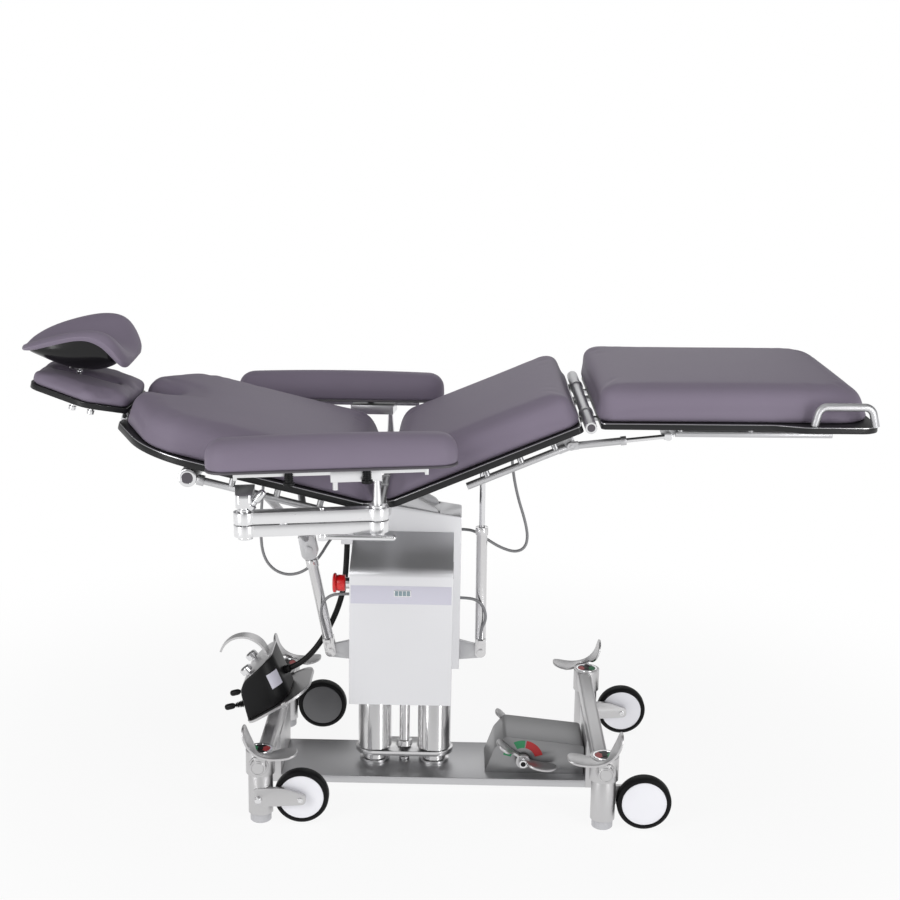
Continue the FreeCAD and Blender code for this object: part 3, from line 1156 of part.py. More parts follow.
def hose_routes():
    left_end, left_axis = port_top(BACK_PINS, -1)
    right_end, right_axis = port_top(SEAT_PINS, -1)
    left_last, right_last = left_end + left_axis * 24, right_end + right_axis * 27
    back_x, back_z = back_point(BACK_HOSE_S, BACK_N - AIR)
    back_x0, back_z0 = back_point(BACK_HOSE_S, BACK_N - 60)
    seat_x, seat_z = seat_point(SEAT_HOSE_S, SEAT_N - AIR)
    seat_x0, seat_z0 = seat_point(SEAT_HOSE_S, SEAT_N - 50)
    left_cylinder = [(HOUSE_X0, -20, 460), (-221, -20, 460), (-246, -20, 457), (-265, -20, 441),
                     (-271, -20, 416), (-267, -20, 391), tuple(left_last), tuple(left_end)]
    right_cylinder = [(HOUSE_X1, -20, 456), (83, -20, 456), (105, -20, 449), (120, -20, 429), (124, -20, 402),
                      tuple(right_last), tuple(right_end)]
    back_loop = [(HOUSE_X0, 40, 607), (-214, 40, 607), (-233, 40, 600), (-254, 40, 576), (-281, 41, 528),
                 (-316, 42, 494), (-355, 43, 483), (-392, 45, 496), (-416, 47, 530), (-422, 50, 585),
                 (-419, 54, 660), (back_x0, 58, back_z0), (back_x, 58, back_z)]
    seat_loop = [(HOUSE_X1, 40, 608), (80, 40, 608), (99, 40, 601), (125, 40, 583), (156, 41, 564),
                 (190, 42, 553), (213, 43, 562), (221, 44, 588), (214, 45, 628), (194, 46, 688),
                 (181, 48, 748), (seat_x0, 50, seat_z0), (seat_x, 50, seat_z)]
    return {"left cylinder": left_cylinder, "right cylinder": right_cylinder,
            "back": back_loop, "seat": seat_loop}


def line(name, route, r):
    """Tube along a route; prints its bends and compares its volume with section times length."""
    radii = []

    def widest(turn, run):
        radii.append(0.45 * run / math.tan(turn / 2))
        return radii[-1]
    path = bend_path([V(*p) for p in route], widest)
    tube = sweep(path, r)
    share = tube.Volume / (math.pi * r * r * path.Length)
    print(name, "length", round(path.Length), "tightest bends", sorted(round(x) for x in radii)[:4],
          "volume share", round(share, 4))
    return tube


def control_cable():
    return line("control cable", cable_route(), CABLE_R)


def hydraulic_hoses():
    return Part.Compound([line(name, route, HOSE_R) for name, route in hose_routes().items()])


CASTORS = ("head_near", "head_far", "foot_near", "foot_far")
LEG_BARREL, LEG_ROD = leg_parts()
NODES = {
    "base_plate": base_plate(),
    "end_frames": Part.Compound(end_frame("head") + end_frame("foot")),
    "lift_columns": lift_columns(),
    "pedal_housing": pedal_housing(),
    "control_housing": control_housing(),
    "head_brake_pedals": brake_pedals("head"),
    "foot_brake_pedals": brake_pedals("foot"),
    "head_floor_feet": floor_feet("head"),
    "foot_floor_feet": floor_feet("foot"),
    "central_pedal": central_pedal(),
    "joystick_near": joystick(-STICK_Y),
    "joystick_far": joystick(STICK_Y),
    "knob_near": knob(-BUTTON_Y),
    "knob_far": knob(BUTTON_Y),
    "lift_outer_tubes": lift_outer_tubes(),
    "front_cover": front_cover(),
    "rear_housing": rear_housing(),
    "carriage_frame": carriage_frame(),
    "hydraulic_unit": hydraulic_unit(),
    "emergency_stop": emergency_stop(),
    "back_barrel": barrel(BACK_PINS, BACK_BARREL_TOP),
    "back_rod": piston(BACK_PINS, BACK_ROD_LOW),
    "seat_barrel": barrel(SEAT_PINS, SEAT_BARREL_TOP),
    "seat_rod": piston(SEAT_PINS, SEAT_ROD_LOW),
    "leg_barrels": both(LEG_BARREL),
    "leg_rods": both(LEG_ROD),
    "seat_plate": seat_plate(),
    "seat_pad": seat_pad(),
    "seat_fittings": seat_fittings(),
    "leg_plate": leg_plate(),
    "leg_pad": leg_pad(),
    "leg_fittings": leg_fittings(),
    "back_plate": back_plate(),
    "back_pad": back_pad(),
    "back_fittings": back_fittings(),
    "head_plate": head_plate(),
    "head_pad": head_pad(),
    "headrest_stem": headrest_stem(),
    "headrest_shell": headrest_shell(),
    "headrest_pad": rest_pad(),
    "control_cable": control_cable(),
    "hydraulic_hoses": hydraulic_hoses(),
}
for castor in CASTORS:
    NODES["castor_swivel_" + castor] = castor_swivel(castor)
    NODES["castor_wheel_" + castor] = castor_wheel(castor)
for side in ("near", "far"):
    NODES["arm_plates_" + side] = arm_plates(side)
    NODES["clamp_lever_" + side] = clamp_lever(side)
    NODES["arm_post_" + side] = arm_post(side)
    NODES["armrest_rail_" + side] = armrest_rail(side)
    NODES["armrest_pad_" + side] = armrest_pad(side)

for name, shape in NODES.items():
    if not shape.isValid() or not shape.Solids:
        print("check", name, "valid", shape.isValid(), "solids", len(shape.Solids))
    shape.exportStep("parts/" + name + ".step")
print(len(NODES), "nodes")
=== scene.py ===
"""An eye surgery table on castors: its upholstery, metalwork, finishes, studio and camera.

Lengths are metres in the table's own frame: +X runs from the head end to the foot end, +Y from
the near side to the far side, and +Z up from the floor.
"""

import json
import logging
import math
from collections.abc import Callable, Iterable, Sequence
from dataclasses import dataclass
from enum import Enum

import bmesh
import bpy
from bmesh.types import BMEdge, BMesh, BMFace, BMVert
from mathutils import Matrix, Vector


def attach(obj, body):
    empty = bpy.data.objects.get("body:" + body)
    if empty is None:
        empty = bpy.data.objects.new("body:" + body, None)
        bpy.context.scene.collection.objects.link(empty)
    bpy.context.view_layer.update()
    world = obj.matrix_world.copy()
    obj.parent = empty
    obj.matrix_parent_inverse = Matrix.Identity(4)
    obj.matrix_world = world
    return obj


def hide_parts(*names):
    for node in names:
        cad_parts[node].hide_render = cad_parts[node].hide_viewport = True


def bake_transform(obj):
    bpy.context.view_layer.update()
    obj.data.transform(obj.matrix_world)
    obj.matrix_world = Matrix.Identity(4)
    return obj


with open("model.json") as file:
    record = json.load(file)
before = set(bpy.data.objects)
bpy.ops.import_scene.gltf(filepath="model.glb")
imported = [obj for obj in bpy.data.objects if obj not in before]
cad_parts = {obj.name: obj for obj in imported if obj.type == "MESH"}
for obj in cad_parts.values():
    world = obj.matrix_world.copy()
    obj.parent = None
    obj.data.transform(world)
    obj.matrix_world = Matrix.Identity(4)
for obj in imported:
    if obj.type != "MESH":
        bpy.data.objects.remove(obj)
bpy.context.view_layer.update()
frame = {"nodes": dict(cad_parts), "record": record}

log = logging.getLogger("surgery_table")
MM = 0.001
LEVEL, FLAT = 1e-6, math.radians(0.6)
WELD, FINE_WELD = 0.01 * MM, 0.005 * MM
CLOUD_SCALE, CLOUD_DETAIL = 9.0, 5.0
GRAIN_DETAIL, GRAIN_DEPTH = 3.0, 0.3 * MM
SHEEN_ROUGHNESS, COAT_ROUGHNESS = 0.5, 0.12
MIX_A, MIX_B, MIX_RESULT = 6, 7, 2
CLOTH_FRAMES, CLOTH_QUALITY, SMOOTHINGS = 20, 3, 3
Point = tuple[float, float, float]
Profile = Sequence[tuple[float, float]]


class Grain(Enum):
    """How a finish breaks up over its surface."""

    LEATHER = "leather"
    BRUSHED_X = "brushed along x"
    BRUSHED_Z = "brushed along z"
    MOULDED = "moulded"
    POLISHED = "polished"


BRUSH_STRETCH = {Grain.BRUSHED_X: (0.02, 1.0, 1.0), Grain.BRUSHED_Z: (1.0, 1.0, 0.02)}


def set_sockets(node: bpy.types.Node, values: dict[str | int, float | Sequence[float]]) -> None:
    """Set a node's inputs by their names or numbers."""
    for socket, value in values.items():
        node.inputs[socket].default_value = value


def new_node(
    tree: bpy.types.NodeTree, kind: str, values: dict[str | int, float | Sequence[float]] | None = None
) -> bpy.types.Node:
    """Add a shader node and set its inputs.

    Args:
        tree: The node tree.
        kind: The node's kind, such as TexNoise.
        values: Its inputs by their names or numbers.

    Returns:
        The new node.
    """
    node = tree.nodes.new(f"ShaderNode{kind}")
    set_sockets(node, values or {})
    return node

@dataclass(frozen=True)
class Finish:
    """One finish of the table, made into a node material on first use."""

    name: str
    slot: str
    colour: Point
    roughness: float
    grain: Grain
    metallic: float = 0.0
    fineness: float = 900.0
    relief: float = 0.08
    drift: float = 0.06
    sheen: float = 0.0
    coat: float = 0.0
    specular: float = 0.5

    def material(self) -> bpy.types.Material:
        """Return the finish's material, building it the first time."""
        return bpy.data.materials.get(self.name) or self._build()

    def _tone(self, share: float) -> tuple[float, ...]:
        """Return the finish's colour, lighter or darker by a share."""
        return (*(min(1.0, c * share) for c in self.colour), 1.0)

    def _build(self) -> bpy.types.Material:
        """Build the node tree: tone and roughness drift slowly, relief follows the grain.

        Returns:
            The new material.
        """
        made = bpy.data.materials.new(self.name)
        made.use_nodes = True
        made.diffuse_color = (*self.colour, 1.0)
        tree = made.node_tree
        shader = tree.nodes["Principled BSDF"]
        set_sockets(shader, {
            "Metallic": self.metallic, "Specular IOR Level": self.specular, "Sheen Weight": self.sheen,
            "Sheen Roughness": SHEEN_ROUGHNESS, "Coat Weight": self.coat, "Coat Roughness": COAT_ROUGHNESS})
        place = new_node(tree, "TexCoord")
        cloud = new_node(tree, "TexNoise", {"Scale": CLOUD_SCALE, "Detail": CLOUD_DETAIL})
        tree.links.new(place.outputs["Object"], cloud.inputs["Vector"])
        tone = new_node(tree, "Mix")
        tone.data_type = "RGBA"
        set_sockets(tone, {MIX_A: self._tone(1 - self.drift), MIX_B: self._tone(1 + self.drift)})
        tree.links.new(cloud.outputs["Fac"], tone.inputs[0])
        tree.links.new(tone.outputs[MIX_RESULT], shader.inputs["Base Color"])
        height = self._grain_height(tree, place)
        gloss = new_node(tree, "MapRange", {
            "To Min": max(0.02, self.roughness * 0.8), "To Max": min(1.0, self.roughness * 1.2)})
        tree.links.new(height, gloss.inputs["Value"])
        tree.links.new(gloss.outputs["Result"], shader.inputs["Roughness"])
        bump = new_node(tree, "Bump", {"Strength": self.relief, "Distance": GRAIN_DEPTH})
        tree.links.new(height, bump.inputs["Height"])
        tree.links.new(bump.outputs["Normal"], shader.inputs["Normal"])
        return made

    def _grain_height(self, tree: bpy.types.NodeTree, place: bpy.types.Node) -> bpy.types.NodeSocket:
        """Add the texture that gives the grain its height.

        Args:
            tree: The material's node tree.
            place: Its texture coordinates.

        Returns:
            The socket with the height.
        """
        if self.grain is Grain.LEATHER:
            cells = new_node(tree, "TexVoronoi")
            cells.feature = "SMOOTH_F1"
            set_sockets(cells, {"Scale": self.fineness})
            tree.links.new(place.outputs["Object"], cells.inputs["Vector"])
            return cells.outputs["Distance"]
        spread = new_node(tree, "Mapping", {"Scale": BRUSH_STRETCH.get(self.grain, (1.0, 1.0, 1.0))})
        tree.links.new(place.outputs["Object"], spread.inputs["Vector"])
        noise = new_node(tree, "TexNoise", {"Scale": self.fineness, "Detail": GRAIN_DETAIL})
        tree.links.new(spread.outputs["Vector"], noise.inputs["Vector"])
        return noise.outputs["Fac"]


LEATHERETTE = Finish("mauve_leatherette", "leatherette", (0.205, 0.175, 0.230), 0.52, Grain.LEATHER, 0.0, 800,
                     0.2, 0.04, 0.03, specular=0.12)
BOARD = Finish("charcoal_board", "board", (0.012, 0.012, 0.013), 0.38, Grain.MOULDED, 0.0, 1500, 0.1, 0.1,
               specular=0.3)
# Painted highlight: this bright polished-metal finish on the boards' eased upper edge stands in for the light
# that catches that edge.
EDGE = Finish("board_edge_painted_highlight", "board", (0.62, 0.62, 0.63), 0.22, Grain.BRUSHED_X, 1.0, 500, 0.02)
SATIN = Finish("satin_steel", "satin_steel", (0.63, 0.625, 0.63), 0.27, Grain.BRUSHED_X, 1.0, 420, 0.015)
SATIN_Z = Finish("satin_steel_upright", "satin_steel", (0.66, 0.655, 0.66), 0.22, Grain.BRUSHED_Z, 1.0, 420,
                 0.02)
GREY_STEEL = Finish("grey_blasted_steel", "satin_steel", (0.30, 0.30, 0.305), 0.42, Grain.MOULDED, 1.0, 1800,
                    0.1)
BLASTED = Finish("blasted_steel", "satin_steel", (0.57, 0.565, 0.57), 0.4, Grain.MOULDED, 1.0, 1800, 0.12)
BRIGHT = Finish("bright_aluminium", "satin_steel", (0.78, 0.78, 0.79), 0.3, Grain.BRUSHED_X, 0.95, 420, 0.006,
                0.03)
CHROME = Finish("chrome", "chrome", (0.8, 0.8, 0.81), 0.07, Grain.POLISHED, 1.0, 60, 0.0, 0.02)
CABINET = Finish("silver_cabinet", "cabinet", (0.74, 0.74, 0.76), 0.34, Grain.BRUSHED_Z, 0.7, 300, 0.03, 0.02)
STRIP = Finish("lavender_strip", "cabinet", (0.56, 0.55, 0.63), 0.35, Grain.MOULDED, 0.0, 700, 0.03, 0.02)
BLACK = Finish("black_moulding", "black_plastic", (0.006, 0.006, 0.0065), 0.4, Grain.MOULDED, 0.0, 1600, 0.15,
               0.12, specular=0.2)
GLOSS_BLACK = Finish("gloss_black_shell", "black_plastic", (0.005, 0.005, 0.0055), 0.2, Grain.MOULDED, 0.0,
                     300, 0.02, 0.1, specular=0.3)
RED = Finish("red_button", "red", (0.74, 0.008, 0.010), 0.28, Grain.MOULDED, 0.0, 900, 0.05, 0.06, 0.0, 0.4)
RED_MARK = Finish("red_mark", "red", (0.42, 0.016, 0.02), 0.4, Grain.MOULDED, 0.0, 900, 0.04, 0.06)
GREEN = Finish("green_mark", "knob", (0.02, 0.23, 0.09), 0.4, Grain.MOULDED, 0.0, 900, 0.04, 0.06)
DISPLAY = Finish("grey_display", "knob", (0.2, 0.27, 0.3), 0.15, Grain.POLISHED, 0.0, 60, 0.0, 0.04, 0.0, 0.6)
PLUG = Finish("mauve_plug", "knob", (0.075, 0.068, 0.08), 0.4, Grain.MOULDED, 0.0, 900, 0.05, 0.06)
TYRE = Finish("black_tyre", "tyre", (0.006, 0.006, 0.0065), 0.5, Grain.MOULDED, 0.0, 1400, 0.15, 0.15,
              specular=0.12)
# Painted shade: the head-far wheel's disc is made dark grey for the shadow it sits in under the table, though
# that wheel matches the other three.
SHADED_WHEEL_DISC = Finish("wheel_disc_painted_shade", "tyre", (0.13, 0.13, 0.135), 0.45, Grain.MOULDED, 0.0, 700, 0.05, 0.04,
                   specular=0.2)
DISC = Finish("pale_wheel_disc", "tyre", (0.84, 0.84, 0.88), 0.36, Grain.MOULDED, 0.0, 700, 0.05, 0.02)
PALE_FOOT = Finish("pale_floor_foot", "foot_rubber", (0.5, 0.5, 0.52), 0.5, Grain.MOULDED, 0.0, 1200, 0.1,
                   0.06)
LINE = Finish("black_cable", "line", (0.006, 0.006, 0.006), 0.4, Grain.MOULDED, 0.0, 1200, 0.1, 0.1,
              specular=0.25)
HOSE = Finish("grey_hose", "hose", (0.24, 0.24, 0.25), 0.4, Grain.MOULDED, 0.0, 1200, 0.1, 0.08)
INNER = Finish("dark_castings", "inner", (0.13, 0.13, 0.135), 0.5, Grain.MOULDED, 0.6, 900, 0.2, 0.15)


def new_object(name: str, bm: BMesh) -> bpy.types.Object:
    """Make a linked object of a bmesh.

    Args:
        name: The name of the object and its mesh.
        bm: Its geometry, freed here.

    Returns:
        The new object.
    """
    mesh = bpy.data.meshes.new(name)
    bm.to_mesh(mesh)
    bm.free()
    obj = bpy.data.objects.new(name, mesh)
    bpy.context.scene.collection.objects.link(obj)
    return obj


def round_off(
    bm: BMesh, geom: Sequence[BMEdge | BMVert], reach: float, steps: int, clamp: bool = True,
    affect: str = "EDGES"
) -> None:
    """Round edges, or the corners of a flat face.

    Args:
        bm: The mesh.
        geom: The edges or corners.
        reach: How far the round runs back from them.
        steps: How many steps make the round.
        clamp: Whether the round stops short of its neighbours.
        affect: EDGES or VERTICES.
    """
    bmesh.ops.bevel(
        bm, geom=geom, offset=reach, offset_type="OFFSET", segments=steps, profile=0.5, affect=affect,
        clamp_overlap=clamp, material=-1
    )


def corner_reach(corner: BMVert, radius: float) -> float:
    """Return how far a round of a radius runs back from a corner of a flat face."""
    arms = [(e.other_vert(corner).co - corner.co).normalized() for e in corner.link_edges]
    return radius / math.tan(arms[0].angle(arms[1]) / 2)


def raise_faces(bm: BMesh, faces: Sequence[BMFace], vec: Point) -> None:
    """Extrude flat faces.

    Args:
        bm: The mesh.
        faces: The faces.
        vec: How far and which way.
    """
    raised = bmesh.ops.extrude_face_region(bm, geom=faces)
    moved = [g for g in raised["geom"] if isinstance(g, BMVert)]
    bmesh.ops.translate(bm, verts=moved, vec=vec)


def level_edges(bm: BMesh) -> list[BMEdge]:
    """Return the edges that run level."""
    return [e for e in bm.edges if abs(e.verts[0].co.z - e.verts[1].co.z) < LEVEL]


def added(bm: BMesh, known: set[BMFace]) -> list[BMFace]:
    """Return the faces that a mesh has gained since its faces were noted."""
    return [f for f in bm.faces if f not in known]


def points_of(faces: Iterable[BMFace]) -> list[BMVert]:
    """Return each point of some faces once."""
    return list({v for f in faces for v in f.verts})


def finish_piece(
    name: str, bm: BMesh, finishes: Sequence[Finish], body: str, replaced: Iterable[str] = (),
    crease: float = 32.0
) -> bpy.types.Object:
    """Turn a bmesh into a finished piece that rides on a body.

    Args:
        name: The piece's name.
        bm: Its geometry in place, freed here.
        finishes: Its finishes in the order of the faces' material numbers.
        body: The body it moves with.
        replaced: The solids it stands for.
        crease: Edges sharper than this many degrees stay sharp.

    Returns:
        The new object.
    """
    for face in bm.faces:
        face.smooth = True
    obj = new_object(name, bm)
    obj.data.set_sharp_from_angle(angle=math.radians(crease))
    for finish in finishes:
        obj.data.materials.append(finish.material())
    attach(obj, body)
    for node in replaced:
        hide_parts(node)
    log.info("%s: %d faces", name, len(obj.data.polygons))
    return obj


def merged_copy(node: str) -> BMesh:
    """Copy a solid's mesh as one closed skin with its flat faces whole.

    Args:
        node: The solid.

    Returns:
        The copy.
    """
    bm = bmesh.new()
    bm.from_mesh(frame["nodes"][node].data)
    for layer in list(bm.loops.layers.uv):
        bm.loops.layers.uv.remove(layer)
    bmesh.ops.remove_doubles(bm, verts=bm.verts, dist=WELD)
    bmesh.ops.dissolve_limit(bm, angle_limit=FLAT, verts=bm.verts, edges=bm.edges)
    for face in bm.faces:
        face.material_index = 0
    return bm


def soften(bm: BMesh, width: float, sharper: float = 40.0) -> None:
    """Round a mesh's sharp edges.

    Args:
        bm: The mesh.
        width: How far the round reaches from the edge.
        sharper: Edges that turn by more degrees than this are rounded.
    """
    limit = math.radians(sharper)
    sharp = [e for e in bm.edges if len(e.link_faces) == 2 and e.calc_face_angle(0.0) > limit]
    round_off(bm, sharp, width, 2)


def body_of(node: str) -> str:
    """Find the body that carries a solid.

    Args:
        node: The solid.

    Returns:
        The body's name.
    """
    for body, nodes in frame["record"]["behaviour"]["bodies"].items():
        if node in nodes:
            return body
    raise KeyError(node)


def softened(
    node: str, finishes: Sequence[Finish], width: float = 0.8 * MM,
    zone: Callable[[BMFace], int] | None = None
) -> None:
    """Dress a solid as a piece with eased edges.

    Args:
        node: The solid.
        finishes: Its finishes.
        width: The reach of the eased edges.
        zone: Gives a face's finish number, where there are several.
    """
    bm = merged_copy(node)
    soften(bm, width)
    if zone:
        for face in bm.faces:
            face.material_index = zone(face)
    finish_piece(f"{node}_piece", bm, finishes, body_of(node), [node])


@dataclass(frozen=True)
class Slope:
    """A section of the lying surface: its hinge and its rise in the side view."""

    x: float
    z: float
    rise: float
    sign: int

    def matrix(self) -> Matrix:
        """Work out the section's own frame.

        Returns:
            The matrix from (run, across, height above the hinge line) to the table.
        """
        along = Vector((self.sign * math.cos(self.rise), 0.0, math.sin(self.rise)))
        up = Vector((-self.sign * math.sin(self.rise), 0.0, math.cos(self.rise)))
        across = Vector((0.0, 1.0, 0.0))
        turn = Matrix((along, across, up)).transposed().to_4x4()
        return Matrix.Translation((self.x, 0.0, self.z)) @ turn


SEAT = Slope(-0.118, 0.721, math.radians(23.3), 1)
BACK = Slope(-0.118, 0.721, math.radians(13.2), -1)
LEG = Slope(0.332394, 0.936746, math.radians(0.6), 1)


@dataclass
class Line:
    """The control cable or a hose: its route, size and the two bodies that hold it."""

    name: str
    node: str
    route: Sequence[Point]
    radius: float
    length: float
    bodies: tuple[str, str]
    bend_from: Point
    bend_to: Point
    finish: Finish
    stiffness: str = "medium"

    def spline(self, depth: float) -> bpy.types.Object:
        """Lay a curve along the route.

        Args:
            depth: The radius of its round section, or zero for none.

        Returns:
            The curve's object, not linked yet.
        """
        curve = bpy.data.curves.new(self.name, "CURVE")
        curve.dimensions = "3D"
        curve.resolution_u = 10
        curve.bevel_depth = depth
        curve.bevel_resolution = 5
        curve.use_fill_caps = depth > 0
        run = curve.splines.new("NURBS")
        run.points.add(len(self.route) - 1)
        for point, place in zip(run.points, self.route):
            point.co = (*place, 1.0)
        run.order_u = 3
        run.use_endpoint_u = True
        return bpy.data.objects.new(self.name, curve)

    def mesh_of(self, depth: float) -> bpy.types.Mesh:
        """Turn the route's curve into a mesh.

        Args:
            depth: The radius of its round section, or zero for none.

        Returns:
            The mesh.
        """
        holder = self.spline(depth)
        bpy.context.scene.collection.objects.link(holder)
        graph = bpy.context.evaluated_depsgraph_get()
        mesh = bpy.data.meshes.new_from_object(holder.evaluated_get(graph))
        curve = holder.data
        bpy.data.objects.remove(holder)
        bpy.data.curves.remove(curve)
        return mesh

    def build(self) -> None:
        path = [tuple(v.co) for v in self.mesh_of(0.0).vertices]
        bm = bmesh.new()
        bm.from_mesh(self.mesh_of(self.radius))
        bmesh.ops.remove_doubles(bm, verts=bm.verts, dist=WELD)
        bmesh.ops.recalc_face_normals(bm, faces=bm.faces)
        for face in bm.faces:
            face.smooth = True
        obj = new_object(self.name, bm)
        obj.data.materials.append(self.finish.material())
        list(self.bodies)
        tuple(self.bend_from)
        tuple(self.bend_to)
        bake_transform(obj)
        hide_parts(self.node)
        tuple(self.route[0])
        log.info("%s: %d route points", self.name, len(self.route))


CABLE_ROUTE = (
    (-0.34686, 0.0, 0.26392), (-0.32488, 0.0, 0.27356), (-0.296, 0.007, 0.298), (-0.270, 0.020, 0.331),
    (-0.247, 0.03, 0.374), (-0.23, 0.03, 0.418), (-0.218, 0.026, 0.468), (-0.213, 0.021, 0.522),
    (-0.211, 0.02, 0.5747))
BACK_CYLINDER_HOSE = (
    (-0.196, -0.02, 0.46), (-0.221, -0.02, 0.46), (-0.246, -0.02, 0.457), (-0.265, -0.02, 0.441),
    (-0.271, -0.02, 0.416), (-0.267, -0.02, 0.391), (-0.25965, -0.019, 0.36812), (-0.25485, -0.019, 0.34461))
SEAT_CYLINDER_HOSE = (
    (0.061, -0.02, 0.456), (0.083, -0.02, 0.456), (0.105, -0.02, 0.449), (0.12, -0.02, 0.429),
    (0.124, -0.02, 0.402), (0.11149, -0.019, 0.3773), (0.11171, -0.019, 0.3503))
BACK_LOOP = (
    (-0.196, 0.04, 0.607), (-0.214, 0.04, 0.607), (-0.233, 0.04, 0.6), (-0.254, 0.04, 0.576),
    (-0.281, 0.041, 0.528), (-0.316, 0.042, 0.494), (-0.355, 0.043, 0.483), (-0.392, 0.045, 0.496),
    (-0.416, 0.047, 0.53), (-0.422, 0.05, 0.585), (-0.419, 0.054, 0.66), (-0.4113, 0.058, 0.74049),
    (-0.39767, 0.058, 0.79861))
SEAT_LOOP = (
    (0.061, 0.04, 0.608), (0.08, 0.04, 0.608), (0.099, 0.04, 0.601), (0.125, 0.04, 0.583),
    (0.156, 0.041, 0.564), (0.19, 0.042, 0.553), (0.213, 0.043, 0.562), (0.221, 0.044, 0.588),
    (0.214, 0.045, 0.628), (0.194, 0.046, 0.688), (0.181, 0.048, 0.748), (0.17637, 0.05, 0.80858),
    (0.15671, 0.05, 0.85422))
CABLE_RADIUS, HOSE_RADIUS = 0.007, 0.0035


class Lines:
    """The control cable and the four hydraulic hoses."""

    def build(self) -> None:
        """Build every line along its route."""
        hose = "hydraulic_hoses"
        for line in (
            Line("foot_control_cable", "control_cable", CABLE_ROUTE, CABLE_RADIUS, 0.361,
                 ("base", "carriage"), (-0.29, 0.0, 0.32), (-0.213, 0.02, 0.53), LINE, "stiff"),
            Line("back_cylinder_hose", hose, BACK_CYLINDER_HOSE, HOSE_RADIUS, 0.172,
                 ("carriage", "back_barrel"), (-0.22, -0.02, 0.45), (-0.26, -0.02, 0.37), HOSE),
            Line("seat_cylinder_hose", hose, SEAT_CYLINDER_HOSE, HOSE_RADIUS, 0.150,
                 ("carriage", "seat_barrel"), (0.085, -0.02, 0.45), (0.112, -0.02, 0.38), HOSE),
            Line("back_hose_loop", hose, BACK_LOOP, HOSE_RADIUS, 0.562, ("carriage", "back"),
                 (-0.22, 0.04, 0.55), (-0.4, 0.05, 0.6), HOSE),
            Line("seat_hose_loop", hose, SEAT_LOOP, HOSE_RADIUS, 0.467, ("carriage", "seat"),
                 (0.2, 0.04, 0.6), (0.2, 0.04, 0.8), HOSE),
        ):
            line.build()


